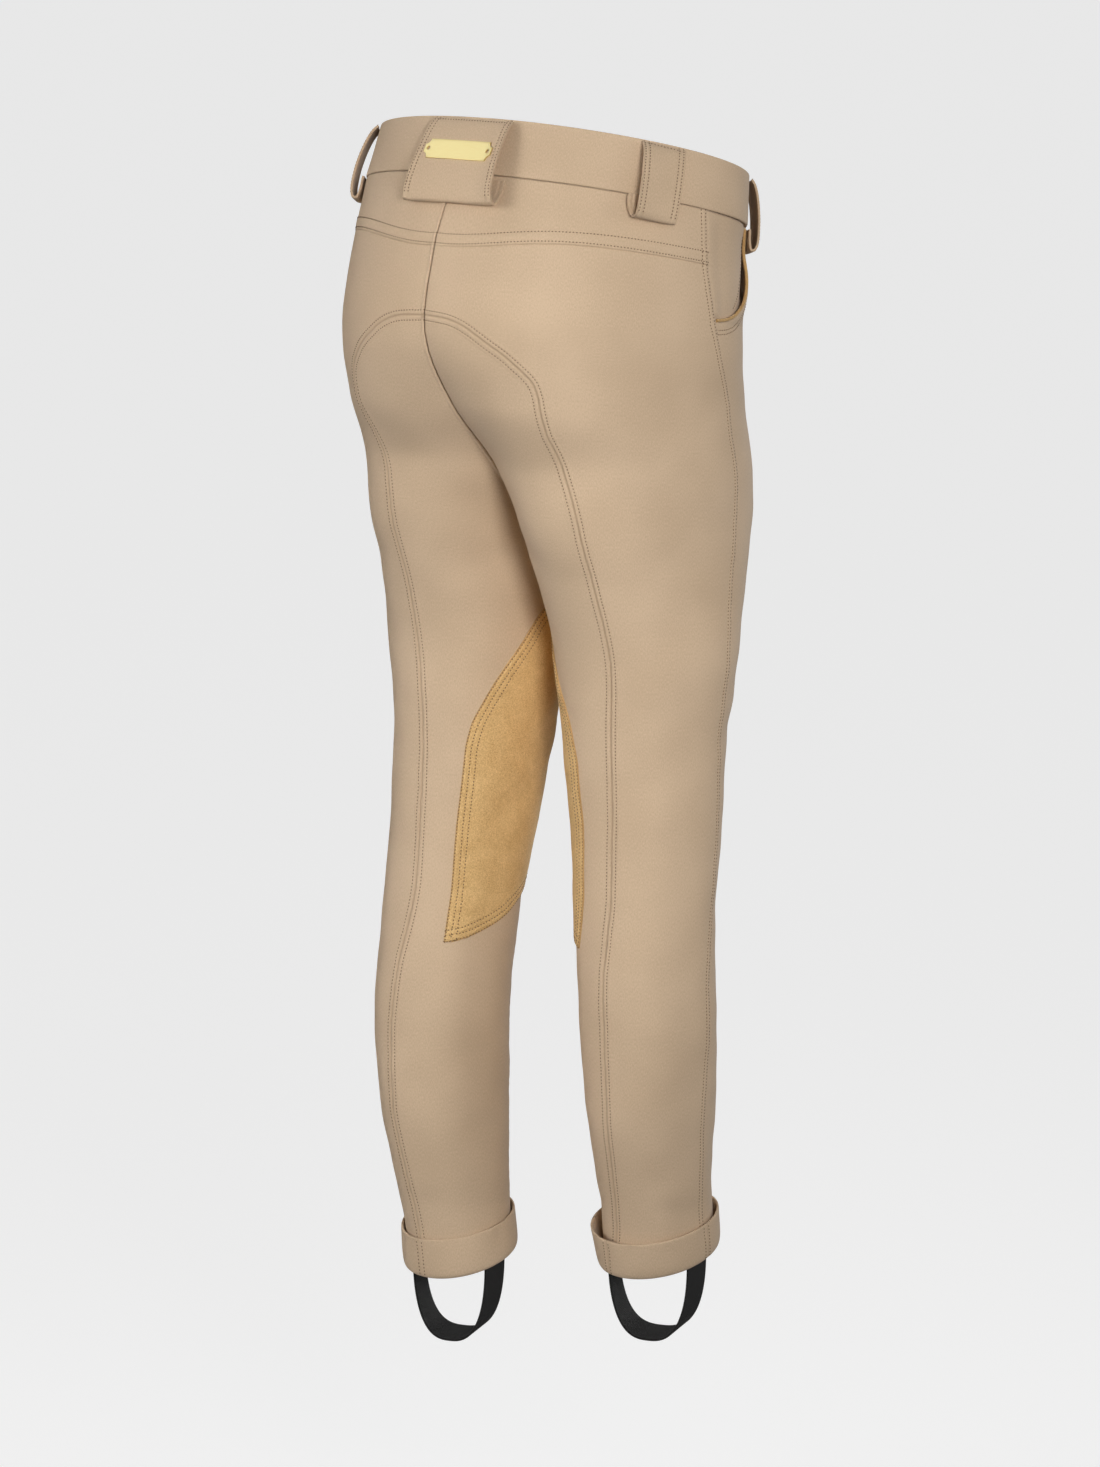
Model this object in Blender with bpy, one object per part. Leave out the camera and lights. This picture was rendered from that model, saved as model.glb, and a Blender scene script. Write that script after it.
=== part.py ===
# Child's jodhpurs, filled out as they are worn, with no wearer inside.
# Metres, +Z up. The front faces -Y, the wearer's left leg is at +X and the right leg at -X.
# The origin is the centre of the waist opening. Sizes and tables are in millimetres and
# degrees, and skin() and its callers turn them into metres.
#
# Two coordinates give every place on the cloth of one half:
#   down    how far below the waist opening, 0 at the top edge of the waistband
#   around  the turn seen from above, 0 at the back, 90 at the outer side, 180 at the front,
#           and 270 or -90 at the inside of the leg
# A third one, out, is the distance off the outer face of the cloth.

import math
from bisect import bisect_right
from collections import namedtuple

import bmesh
import bpy
from mathutils import Matrix, Vector

MM = 0.001
LEFT = 1
RIGHT = -1
SIDES = {"left": LEFT, "right": RIGHT}

# Cloth
WALL = 1.6
SEAM_GAP = 0.3
HALF_GAP = SEAM_GAP / 2
SUEDE_WALL = 1.4

# Points nearer than this are merged, and edges sharper than this stay crisp
MERGE_DISTANCE = 0.01
SHARP_ANGLE = 40.0

# Heights on the garment
BAND_HEIGHT = 35.0
YOKE_DEPTH = 70.0
YOKE_DIP = 10.0
YOKE_DIP_WIDTH = 28.0
POCKET_DEPTH = 106.5
ARCH_TOP = 119.0
CROTCH = 246.0
PATCH_TOP = 290.0
PATCH_TIP = 540.0
HEM = 770.0

# Pose: the right leg is forward and a little higher, the left leg is back
STRIDE = 38.0
STRIDE_BEND = 1.3
RIGHT_LIFT = 4.0

# The left leg is a little narrower at its end
NARROW_TOP = 690.0
NARROW_SHARE = 0.06

# One row for each level of the cloth. side is the outermost point from the middle of the
# body, back_mid and front_mid are the middles of the back and front half ovals, centre is
# how far they lie behind the origin, back and front are their depths, and tilt is how much
# the level rises for each millimetre towards the back.
Level = namedtuple("Level", "down side back_mid front_mid centre back front tilt")
LEVELS = [
    Level(0, 138, 0, 0, 0, 100, 97, 0.29),
    Level(40, 141, 0, 0, 8, 113, 100, 0.25),
    Level(84, 140, 9, 3, 12, 130, 105, 0.20),
    Level(126, 138, 20, 10, 16, 137, 113, 0.14),
    Level(168, 134, 42, 22, 13, 124, 117, 0.08),
    Level(209, 133, 57, 44, 9, 100, 113, 0.04),
    Level(CROTCH, 130, 65, 65, 7, 95, 104, 0.02),
    Level(282, 130, 67, 67, 4, 82, 89, 0.0),
    Level(335, 131, 70, 70, 3, 66, 69, 0.0),
    Level(397, 123, 69, 69, 6, 58, 60, 0.0),
    Level(460, 121, 71, 71, 11, 53, 54, 0.0),
    Level(523, 119, 72, 72, 18, 50, 49, -0.03),
    Level(586, 119, 73, 73, 22, 50, 49, -0.05),
    Level(648, 113, 70, 70, 19, 50, 48, -0.12),
    Level(700, 104, 65, 65, 13, 44, 43, -0.20),
    Level(742, 99, 61, 61, 8, 39, 39, -0.26),
    Level(HEM, 97, 58, 58, 5, 40, 40, -0.28),
]

# Where the seams run. The legs are turned a little in their stride, so TWIST is added to
# each angle on the right leg and taken off it on the left leg.
Mark = namedtuple("Mark", "down around")
ARCH_SEAM = [
    Mark(ARCH_TOP, -9), Mark(120.5, 1), Mark(124, 7), Mark(131, 13), Mark(141, 20),
    Mark(155, 25), Mark(170, 23), Mark(190, 17.5), Mark(216, 13.5), Mark(259, 12), Mark(330, 9),
    Mark(400, 6.5), Mark(470, 3), Mark(520, 1.5), Mark(600, 3.5), Mark(650, 4), Mark(HEM, -5),
]
SIDE_SEAM = [
    Mark(0, 79), Mark(BAND_HEIGHT, 81), Mark(YOKE_DEPTH, 84), Mark(100, 89), Mark(131, 96),
    Mark(168, 103), Mark(240, 102), Mark(331, 96), Mark(385, 98), Mark(480, 104),
    Mark(600, 106), Mark(671, 102), Mark(HEM, 102),
]
INNER_SEAM = [
    Mark(CROTCH, 270), Mark(262, 256), Mark(290, 244), Mark(330, 236), Mark(380, 230),
    Mark(640, 226), Mark(HEM, 222),
]
POCKET_MOUTH = [
    Mark(BAND_HEIGHT, 122), Mark(58, 121), Mark(78, 118), Mark(92, 112), Mark(100.5, 105),
    Mark(104.7, 98), Mark(POCKET_DEPTH, 91),
]
TWIST = [
    Mark(0, 0), Mark(168, 0), Mark(200, 3.5), Mark(250, 8), Mark(500, 8), Mark(530, 4),
    Mark(560, -1), Mark(620, -4), Mark(700, -5), Mark(HEM, -9),
]
PATCH_BACK = [
    Mark(PATCH_TOP, -113), Mark(300, -98), Mark(313, -77), Mark(334, -62), Mark(353, -49),
    Mark(379, -35.5), Mark(392, -30), Mark(410, -27), Mark(455, -27), Mark(500, -29),
    Mark(519, -31), Mark(PATCH_TIP, -34),
]
PATCH_FOOT = [
    Mark(PATCH_TOP, -150), Mark(505, -150), Mark(512, -125), Mark(520, -98), Mark(527, -84),
    Mark(533, -68), Mark(538, -50), Mark(PATCH_TIP, -34),
]

# Rows that the panels share, closer together where a seam turns and at the crotch
YOKE_ROWS = [BAND_HEIGHT, 48, 59, YOKE_DEPTH]
SEAT_ROWS = [YOKE_DEPTH, 83, 96, POCKET_DEPTH]
MOUTH_ROWS = [BAND_HEIGHT, 50, 62, 73, 83, 91.5, 98.5, 102.7, 105.5, POCKET_DEPTH]
ARCH_ROWS = [ARCH_TOP, 120.5, 124, 131, 141, 155, 170, 184, 197, 210, 221, 230, 237, 242, 245]
FRONT_ROWS = [124, 141, 155, 170, 184, 197, 210, 221, 230, 237, 242, 245]
LEG_ROWS = [CROTCH, 251, 262, 280] + [304 + 29 * step for step in range(16)]
PATCH_ROWS = (
    [PATCH_TOP, 294, 299, 304, 309, 315, 323, 333, 347]
    + [304 + 29 * step for step in range(2, 8)]
    + [511, 515, 520, 526, 531, 536, 538.5, PATCH_TIP]
)
BEARER_ROWS = [BAND_HEIGHT, 52, 68, 82, 94, 104, 117]
FLY_ROWS = [BAND_HEIGHT, 60, 90, 120, 145, 160, 172, 182, 189, 192]

BACK_COLUMNS = 8
INNER_COLUMNS = 11
FRONT_COLUMNS = 11

# Largest creases: how far along the crease it runs, how wide and deep it is, and its slant
Crease = namedtuple("Crease", "side down around long wide deep slant")
CREASES = [
    Crease(LEFT, 398, -104, 34, 13, -1.8, 50),
    Crease(LEFT, 436, -100, 30, 12, -1.5, 40),
    Crease(RIGHT, 404, -100, 34, 13, -1.6, 50),
    Crease(RIGHT, 440, -104, 30, 12, -1.5, 40),
    Crease(LEFT, 214, 214, 40, 13, -2.0, -35),
    Crease(RIGHT, 218, 210, 40, 13, -2.0, -35),
    Crease(LEFT, 424, 170, 32, 13, -1.4, -8),
    Crease(RIGHT, 430, 176, 32, 13, -1.4, 8),
    Crease(LEFT, 712, 168, 28, 12, -1.4, 10),
    Crease(RIGHT, 716, 160, 28, 12, -1.4, -10),
]

# A crease's turn is measured along a leg of this radius, and creases fade out this near to
# the seams in the middle of the body
LEG_RADIUS = 50.0
CREASE_CLEAR = 25.0

# Below the crotch the inner seam takes on the leg's turn over this height
INNER_TWIST_FADE = 60.0

# Trims
BAND_WALL = 2.8
BAND_PROUD = 0.6
BAND_ROWS = [0.0, 18.0, BAND_HEIGHT - HALF_GAP]
BAND_COLUMNS = 44
BAND_UNDERLAP = 2.0
BAND_OVERLAP = 14.0
BAND_STEP_START = 166.0
BAND_STEP_END = 176.0
POCKET_GAPE = 2.9
POCKET_GAPE_TOP = 52.0
POCKET_GAPE_WIDTH = 14.0
BEARER_CLEAR = 0.1
BEARER_SUNK = 2.4
BEARER_SINK_TURN = 8.0
BEARER_SINK_TOP = 90.0
BEARER_SINK_HEIGHT = 12.0
BEARER_REACH = 13.0
BEARER_COLUMNS = 8
PIPING_RADIUS = 1.1
PIPING_START = BAND_HEIGHT + 1.6
PIPING_ROWS = [PIPING_START, 46.0] + MOUTH_ROWS[1:-1]
FLY_WIDTH = 17.0
FLY_STRAIGHT = 160.0
FLY_END = 192.0
FLY_WALL = 1.3
FLY_GAP = 0.8

# Knee patches
PATCH_GAP = 0.9
PATCH_INSET = 1.2

# Turn-ups: an oval ring with this section, out from the cloth and up from the hem
TURN_UP_SECTION = [
    (4.1, 27.0), (3.9, 14.0), (3.2, 3.0), (2.0, 0.4), (-0.8, 0.2), (-1.6, 1.6), (0.9, 2.4),
    (1.8, 7.0), (2.1, 27.0),
]
CLOTH_END = 3.0
TURN_UP_COLUMNS = 30
TURN_UP_WAVE = 0.4
TURN_UP_WAVES = 3
TURN_UP_WAVE_START = 40.0

# How far a turn-up leans out at its top, and towards which turn it does so most
Lean = namedtuple("Lean", "around least most")
TURN_UP_LEAN = {LEFT: Lean(150, -1.0, 0.0), RIGHT: Lean(-60, 0.0, 5.0)}

# Foot straps
STRAP_WIDTH = 22.0
STRAP_WALL = 1.4
STRAP_CLEAR = 4.0
STRAP_DROP = 57.0
STRAP_TUCK = 15.0
STRAP_TILT = 15.0
STRAP_YAW = 18.0
STRAP_TUCK_STEPS = 2
STRAP_BEND_STEPS = 16

# The bend of a strap is a half oval whose sides are straighter and whose foot is flatter
STRAP_SIDE_POWER = 0.75
STRAP_FOOT_POWER = 0.9

# Belt loops: centre-line of the folded strip, out from the cloth and as a share of its length
LOOP_WALL = 1.4
LOOP_SECTION = [
    (1.7, 0.04), (4.0, 0.11), (6.0, 0.24), (7.4, 0.42), (8.2, 0.62), (8.3, 0.80),
    (7.5, 0.93), (5.8, 0.995), (3.8, 1.0), (2.4, 0.95), (1.7, 0.84), (1.6, 0.71),
]
LOOP_CURL = 0.0008
WIDE_LOOP = 50.0
Loop = namedtuple("Loop", "name turn width widens long")
LOOPS = [
    Loop("belt_loop_centre_back", -1.5, 71.0, 0.14, 54.5),
    Loop("belt_loop_side_back_left", 61.0, 31.0, 0.0, 49.5),
    Loop("belt_loop_side_back_right", -61.0, 31.0, 0.0, 49.5),
    Loop("belt_loop_front_left", 127.0, 31.0, 0.0, 51.5),
    Loop("belt_loop_front_right", -127.0, 31.0, 0.0, 51.5),
]

# Plate and button
PLATE_LENGTH = 56.0
PLATE_HEIGHT = 12.0
PLATE_WALL = 1.0
PLATE_NOTCH = 3.4
PLATE_DOWN = 24.0
PLATE_SHIFT = 0.5
BUTTON_RADIUS = 8.5
BUTTON_WALL = 2.4
BUTTON_SIDES = 24
BUTTON_RIM = 1.6
BUTTON_SLOPE = 0.5
BUTTON_DISH = 0.7
BUTTON_TURN = 186.0
BUTTON_DOWN = 18.5

MATERIALS = {
    "cloth": ((0.52, 0.41, 0.28, 1), 0.85, 0.0),
    "suede": ((0.60, 0.37, 0.13, 1), 0.95, 0.0),
    "elastic": ((0.008, 0.008, 0.008, 1), 0.7, 0.0),
    "brass": ((0.80, 0.62, 0.26, 1), 0.3, 1.0),
}


def smooth(marks):
    """Return a function that runs smoothly through the given (place, value) pairs."""
    places = [mark[0] for mark in marks]
    values = [mark[1] for mark in marks]
    last = len(places) - 1
    rises = [(values[i + 1] - values[i]) / (places[i + 1] - places[i]) for i in range(last)]
    slopes = [rises[0]]
    for before, after in zip(rises, rises[1:]):
        turns_back = before * after <= 0
        slopes.append(0.0 if turns_back else 2 * before * after / (before + after))
    slopes.append(rises[-1])

    def value(place):
        place = min(max(place, places[0]), places[-1])
        i = min(bisect_right(places, place) - 1, last - 1)
        step = places[i + 1] - places[i]
        t = (place - places[i]) / step
        return (
            (2 * t**3 - 3 * t**2 + 1) * values[i]
            + (t**3 - 2 * t**2 + t) * step * slopes[i]
            + (3 * t**2 - 2 * t**3) * values[i + 1]
            + (t**3 - t**2) * step * slopes[i + 1]
        )

    return value


def ease(t):
    """Rise smoothly from 0 to 1 as t goes from 0 to 1."""
    t = min(max(t, 0.0), 1.0)
    return t * t * (3 - 2 * t)


level = {
    name: smooth([(row.down, getattr(row, name)) for row in LEVELS])
    for name in Level._fields[1:]
}
arch_curve = smooth(ARCH_SEAM)
side_curve = smooth(SIDE_SEAM)
inner_curve = smooth(INNER_SEAM)
mouth_curve = smooth(POCKET_MOUTH)
twist_curve = smooth(TWIST)
patch_back_curve = smooth(PATCH_BACK)
patch_foot_curve = smooth(PATCH_FOOT)


def mid_angle(name, down):
    """The turn past straight back, or straight front, at which a half meets the other one."""
    if down >= CROTCH:
        return 90.0
    mid = max(level[name](down), 0.0)
    return math.degrees(math.asin(min(mid / (level["side"](down) - mid), 1.0)))


def surface(side, around, down):
    """A point of the smooth outer face, in millimetres."""
    sine = math.sin(math.radians(around))
    cosine = math.cos(math.radians(around))
    half = "back" if cosine > 0 else "front"
    mid = max(level[half + "_mid"](down), 0.0)
    centre = level["centre"](down)
    width = 1.0
    if side == LEFT:
        width -= NARROW_SHARE * ease((down - NARROW_TOP) / (HEM - NARROW_TOP))
    x = mid + (level["side"](down) - mid) * sine * width
    y = level[half](down) * cosine * width
    z = level["tilt"](down) * y - down
    low = max(down - CROTCH, 0.0) / (HEM - CROTCH)
    y += centre + side * STRIDE * low**STRIDE_BEND
    if side == RIGHT:
        z += RIGHT_LIFT * low
    return Vector((side * x, y, z))


def crease_depth(side, around, down):
    """How far the creases push the cloth out or, below zero, in."""
    total = 0.0
    for crease in CREASES:
        if crease.side != side:
            continue
        turned = (around - crease.around + 180) % 360 - 180
        across = LEG_RADIUS * math.radians(turned)
        fall = down - crease.down
        turn = math.radians(crease.slant)
        along = across * math.cos(turn) + fall * math.sin(turn)
        beside = fall * math.cos(turn) - across * math.sin(turn)
        total += crease.deep * math.exp(-((along / crease.long) ** 2) - (beside / crease.wide) ** 2)
    return total


def outward(side, around, down):
    """The direction off the cloth."""
    here = surface(side, around, down)
    along = surface(side, around + 0.5, down) - here
    below = surface(side, around, down + 0.5) - here
    return along.cross(below).normalized() * side


def skin(side, around, down, out=0.0):
    """A point off the outer face of the cloth, in metres."""
    point = surface(side, around, down)
    off = out + crease_depth(side, around, down) * ease(abs(point.x) / CREASE_CLEAR)
    return (point + outward(side, around, down) * off) * MM


def degrees_for(length, down):
    """The turn that a short length round the cloth takes."""
    radius = level["side"](down) - max(level["back_mid"](down), 0.0)
    return math.degrees(length / radius)


def dipped(down, around):
    """Lower the yoke seam towards the centre back, and fade that out above and below."""
    if down <= YOKE_DEPTH:
        share = (down - BAND_HEIGHT) / (YOKE_DEPTH - BAND_HEIGHT)
    else:
        share = (ARCH_TOP - down) / (ARCH_TOP - YOKE_DEPTH)
    return down + YOKE_DIP * ease(share) * math.exp(-((around / YOKE_DIP_WIDTH) ** 2))


def seam(curve, side, down, nudge):
    """The turn of a seam on one leg, moved sideways by nudge millimetres."""
    twist = side * -twist_curve(down)
    return curve(down) + twist + degrees_for(nudge, down)


def centre_back(side, down):
    return -mid_angle("back_mid", down) + degrees_for(HALF_GAP, down)


def centre_front(side, down):
    return 180 + mid_angle("front_mid", down) - degrees_for(HALF_GAP, down)


def inner_seam(side, down, nudge):
    twist = side * -twist_curve(down) * ease((down - CROTCH) / INNER_TWIST_FADE)
    return inner_curve(down) + twist + degrees_for(nudge, down)


def back_panel_start(side, down):
    if down <= ARCH_TOP:
        return centre_back(side, down)
    return max(seam(arch_curve, side, down - HALF_GAP, HALF_GAP), centre_back(side, down))


def inner_panel_start(side, down):
    if down < CROTCH:
        return centre_back(side, down)
    return inner_seam(side, down, HALF_GAP) - 360


def inner_panel_end(side, down):
    edge = seam(arch_curve, side, down - SEAM_GAP - HALF_GAP, -HALF_GAP)
    return max(edge, inner_panel_start(side, down))


def side_seam_back(side, down):
    return seam(side_curve, side, down, -HALF_GAP)


def front_panel_start(side, down):
    edge = seam(side_curve, side, down, HALF_GAP)
    if down < POCKET_DEPTH:
        edge = max(edge, mouth_curve(down))
    return edge


def front_panel_end(side, down):
    if down < CROTCH:
        return centre_front(side, down)
    return inner_seam(side, down, -HALF_GAP)


def mouth_gape(around, down):
    """How far the pocket mouth stands off the body."""
    share = (down - POCKET_GAPE_TOP) / (POCKET_DEPTH - POCKET_GAPE_TOP)
    if not 0 < share < 1:
        return 0.0
    beside = (around - mouth_curve(down)) / POCKET_GAPE_WIDTH
    return POCKET_GAPE * math.sin(math.pi * share) ** 1.5 * math.exp(-(beside**2))


def new_object(name, bm, material):
    """Finish a mesh: merge its doubles, face it outwards and link it to the scene."""
    bmesh.ops.remove_doubles(bm, verts=bm.verts, dist=MERGE_DISTANCE * MM)
    bmesh.ops.dissolve_degenerate(bm, edges=bm.edges, dist=MERGE_DISTANCE * MM)
    bmesh.ops.recalc_face_normals(bm, faces=bm.faces)
    mesh = bpy.data.meshes.new(name)
    bm.to_mesh(mesh)
    bm.free()
    mesh.materials.append(bpy.data.materials[material])
    mesh.shade_smooth()
    mesh.set_sharp_from_angle(angle=math.radians(SHARP_ANGLE))
    item = bpy.data.objects.new(name, mesh)
    bpy.context.scene.collection.objects.link(item)
    return item


def walled_sheet(name, columns, rows, place, wall, material):
    """Make a sheet of columns by rows cells and give it a wall.

    place(u, row, off) is the point at the share u across the sheet and at the numbered row,
    off millimetres behind the outer face.
    """
    bm = bmesh.new()
    bmesh.ops.create_grid(bm, x_segments=columns, y_segments=rows, size=0.5)
    spots = {}
    for vert in bm.verts:
        spots[vert] = (vert.co.x + 0.5, round((vert.co.y + 0.5) * rows))
    outer = {spot: vert for vert, spot in spots.items()}
    made = bmesh.ops.extrude_face_region(bm, geom=bm.faces[:], use_keep_orig=True)
    inner = [item for item in made["geom"] if isinstance(item, bmesh.types.BMVert)]
    for vert in inner:
        u = vert.co.x + 0.5
        row = round((vert.co.y + 0.5) * rows)
        vert.co = place(u, row, wall)
    for (u, row), vert in outer.items():
        vert.co = place(u, row, 0.0)
    return new_object(name, bm, material)


def panel(name, side, rows, start, end, columns, material="cloth", wall=WALL, proud=None, dip=False):
    """A cut piece of cloth between two edges that are given as a turn for each row."""

    def place(u, row, off):
        down = rows[row]
        first = start(side, down)
        if dip:
            first = start(side, dipped(down, first))
        around = first + (end(side, down) - first) * u
        out = proud(side, around, down) if proud else 0.0
        if dip:
            down = dipped(down, around)
        return skin(side, around, down, out - off)

    return walled_sheet(name, columns, len(rows) - 1, place, wall, material)


def with_ends(rows, first, last):
    """Move the first and last row a little, to leave the seam gap there."""
    return [rows[0] + first] + rows[1:-1] + [rows[-1] + last]


def make_leg_panels(side_name, side):
    hem_row = HEM - CLOTH_END
    legs = LEG_ROWS + [hem_row]
    panel(
        "yoke_" + side_name, side, with_ends(YOKE_ROWS, HALF_GAP, -HALF_GAP),
        centre_back, side_seam_back, BACK_COLUMNS, dip=True,
    )
    panel(
        "back_panel_" + side_name, side,
        with_ends(SEAT_ROWS + ARCH_ROWS + legs, HALF_GAP, 0),
        back_panel_start, side_seam_back, BACK_COLUMNS, dip=True,
    )
    panel(
        "inner_panel_" + side_name, side,
        [ARCH_TOP + SEAM_GAP] + ARCH_ROWS[1:] + legs,
        inner_panel_start, inner_panel_end, INNER_COLUMNS,
    )
    panel(
        "front_panel_" + side_name, side,
        with_ends(MOUTH_ROWS + FRONT_ROWS + legs, HALF_GAP, 0),
        front_panel_start, front_panel_end, FRONT_COLUMNS,
        proud=lambda which, around, down: mouth_gape(around, down),
    )


def make_pocket(side_name, side):
    """The cloth behind the pocket mouth and the piping along the mouth."""

    def bearer_end(which, down):
        return mouth_curve(min(down, POCKET_DEPTH)) + BEARER_REACH

    def bearer_sunk(which, around, down):
        past_seam = (around - seam(side_curve, which, down, HALF_GAP)) / BEARER_SINK_TURN
        past_mouth = (down - BEARER_SINK_TOP) / BEARER_SINK_HEIGHT
        return -BEARER_CLEAR - BEARER_SUNK * max(ease(past_seam), ease(past_mouth))

    panel(
        "pocket_bearer_" + side_name, side, with_ends(BEARER_ROWS, HALF_GAP, 0),
        lambda which, down: seam(side_curve, which, down, HALF_GAP), bearer_end, BEARER_COLUMNS,
        proud=bearer_sunk,
    )

    away = PIPING_RADIUS + SEAM_GAP
    centres = []
    for index, down in enumerate(PIPING_ROWS):
        before = PIPING_ROWS[max(index - 1, 0)]
        after = (PIPING_ROWS[1:] + [POCKET_DEPTH])[index]
        edge = mouth_curve(down)
        here = skin(side, edge, down, mouth_gape(edge, down) - WALL / 2)
        run = skin(side, mouth_curve(after), after) - skin(side, mouth_curve(before), before)
        off = outward(side, edge, down)
        inwards = run.cross(off).normalized() * side
        centres.append(here - inwards * away * MM)
    make_tube("pocket_piping_" + side_name, centres, PIPING_RADIUS, "suede")


def make_tube(name, centres, radius, material):
    """A round tube along the given points, with closed ends."""
    curve = bpy.data.curves.new(name, "CURVE")
    curve.dimensions = "3D"
    curve.bevel_depth = radius * MM
    curve.bevel_resolution = 2
    curve.use_fill_caps = True
    spline = curve.splines.new("POLY")
    spline.points.add(len(centres) - 1)
    for point, centre in zip(spline.points, centres):
        point.co = (*centre, 1)
    curve.materials.append(bpy.data.materials[material])
    item = bpy.data.objects.new(name, curve)
    bpy.context.scene.collection.objects.link(item)


def over_inner_panel(side, u, down, out):
    """A point over the flat facets of the inner panel, so that what lies there keeps clear."""
    below = next(row for row in LEG_ROWS if row > down)
    above = LEG_ROWS[LEG_ROWS.index(below) - 1]
    column = min(int(u * INNER_COLUMNS), INNER_COLUMNS - 1)
    ends = []
    for row in (above, below):
        first = inner_panel_start(side, row)
        width = (inner_panel_end(side, row) - first) / INNER_COLUMNS
        near = skin(side, first + width * column, row, out)
        far = skin(side, first + width * (column + 1), row, out)
        ends.append(near.lerp(far, u * INNER_COLUMNS - column))
    return ends[0].lerp(ends[1], (down - above) / (below - above))


def make_knee_patch(side_name, side):
    """The suede patch: the inner panel's own points, kept inside its outline and moved out."""

    def place(u, row, off):
        down = PATCH_ROWS[row]
        first = inner_panel_start(side, down)
        width = inner_panel_end(side, down) - first
        back = seam(patch_back_curve, side, down, 0)
        front = max(first + degrees_for(PATCH_INSET, down), seam(patch_foot_curve, side, down, 0))
        around = min(max(first + width * u, front), max(back, front))
        return over_inner_panel(
            side, (around - first) / width, down, PATCH_GAP + SUEDE_WALL - off
        )

    walled_sheet(
        "knee_patch_" + side_name, INNER_COLUMNS, len(PATCH_ROWS) - 1, place, SUEDE_WALL, "suede"
    )


def make_turn_up(side_name, side):
    """The folded cuff: a ring round the hem, open at the top, that closes under the cloth."""
    lean = TURN_UP_LEAN[side]
    section = TURN_UP_SECTION + TURN_UP_SECTION[:1]
    bm = bmesh.new()
    bmesh.ops.create_grid(bm, x_segments=TURN_UP_COLUMNS, y_segments=len(section) - 1, size=0.5)
    for vert in bm.verts:
        around = (vert.co.x + 0.5) * 360
        out, up = section[round((vert.co.y + 0.5) * (len(section) - 1))]
        towards = 0.5 + 0.5 * math.cos(math.radians(around - lean.around))
        flare = lean.least + (lean.most - lean.least) * towards**3
        flare += TURN_UP_WAVE * math.sin(math.radians(around * TURN_UP_WAVES + TURN_UP_WAVE_START))
        vert.co = skin(side, around, HEM - up, out + flare * up / TURN_UP_SECTION[0][1])
    new_object("turn_up_" + side_name, bm, "cloth")


def make_foot_strap(side_name, side):
    """A flat elastic loop, sewn inside the hem at both sides of the leg."""
    tuck_middle = HEM - STRAP_TUCK / 2
    middle = (surface(side, 0, tuck_middle) + surface(side, 180, tuck_middle)) / 2
    middle.z -= STRAP_TUCK / 2
    width = surface(side, 90, tuck_middle) - surface(side, 270, tuck_middle)
    half_span = abs(width.x) / 2 - WALL - STRAP_CLEAR
    level_strap = Vector((0, 1, 0))
    level_strap.rotate(Matrix.Rotation(math.radians(-STRAP_TILT), 3, "X"))
    path = []
    for step in range(STRAP_TUCK_STEPS):
        path.append((half_span, STRAP_TUCK * (1 - step / STRAP_TUCK_STEPS)))
    for step in range(STRAP_BEND_STEPS + 1):
        turn = math.pi * step / STRAP_BEND_STEPS
        squared = math.copysign(abs(math.cos(turn)) ** STRAP_SIDE_POWER, math.cos(turn))
        drop = STRAP_DROP * math.sin(turn) ** STRAP_FOOT_POWER
        path.append((half_span * squared, -drop))
    for step in range(1, STRAP_TUCK_STEPS + 1):
        path.append((-half_span, STRAP_TUCK * step / STRAP_TUCK_STEPS))

    def place(u, row, off):
        x, z = path[row]
        before = path[max(row - 1, 0)]
        after = path[min(row + 1, len(path) - 1)]
        run = Vector((after[0] - before[0], 0, after[1] - before[1]))
        yaw = math.radians(STRAP_YAW) * ease(0.5 + x / (2 * half_span))
        across = Matrix.Rotation(yaw, 3, "Z") @ level_strap
        swing = Vector((half_span * (math.cos(yaw) - 1), half_span * math.sin(yaw), 0))
        inwards = across.cross(run).normalized()
        level_out = STRAP_WIDTH * (u - 0.5)
        point = middle + Vector((x, 0, z)) + swing + across * level_out
        return (point + inwards * (off - STRAP_WALL / 2)) * MM

    walled_sheet("foot_strap_" + side_name, 2, len(path) - 1, place, STRAP_WALL, "elastic")


def round_waist(turn, down, out):
    """A point round the whole waist, where turn is 0 at the back and grows to the left."""
    turn = (turn + 180) % 360 - 180
    side = LEFT if turn >= 0 else RIGHT
    return skin(side, abs(turn), down, out)


def band_step(turn):
    return (BAND_WALL + SEAM_GAP) * ease(
        (turn - BAND_STEP_START) / (BAND_STEP_END - BAND_STEP_START)
    )


def make_waistband():
    """One strip round the waist, its left end lapped over the right end at the front."""
    first = -180 - BAND_UNDERLAP
    last = 180 + BAND_OVERLAP

    def place(u, row, off):
        turn = first + (last - first) * u
        return round_waist(turn, BAND_ROWS[row], BAND_PROUD + band_step(turn) - off)

    walled_sheet("waistband", BAND_COLUMNS, len(BAND_ROWS) - 1, place, BAND_WALL, "cloth")


def loop_place(loop, along, down, out):
    """A point of a belt loop, which is stiffer and so flatter than the waist under it."""
    side = LEFT if loop.turn >= 0 else RIGHT
    around = abs(loop.turn)
    here = surface(side, around, down)
    run = surface(side, around + 0.5, down) - surface(side, around - 0.5, down)
    off = outward(side, around, down)
    return (here + run.normalized() * along + off * (out - LOOP_CURL * along**2)) * MM


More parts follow.
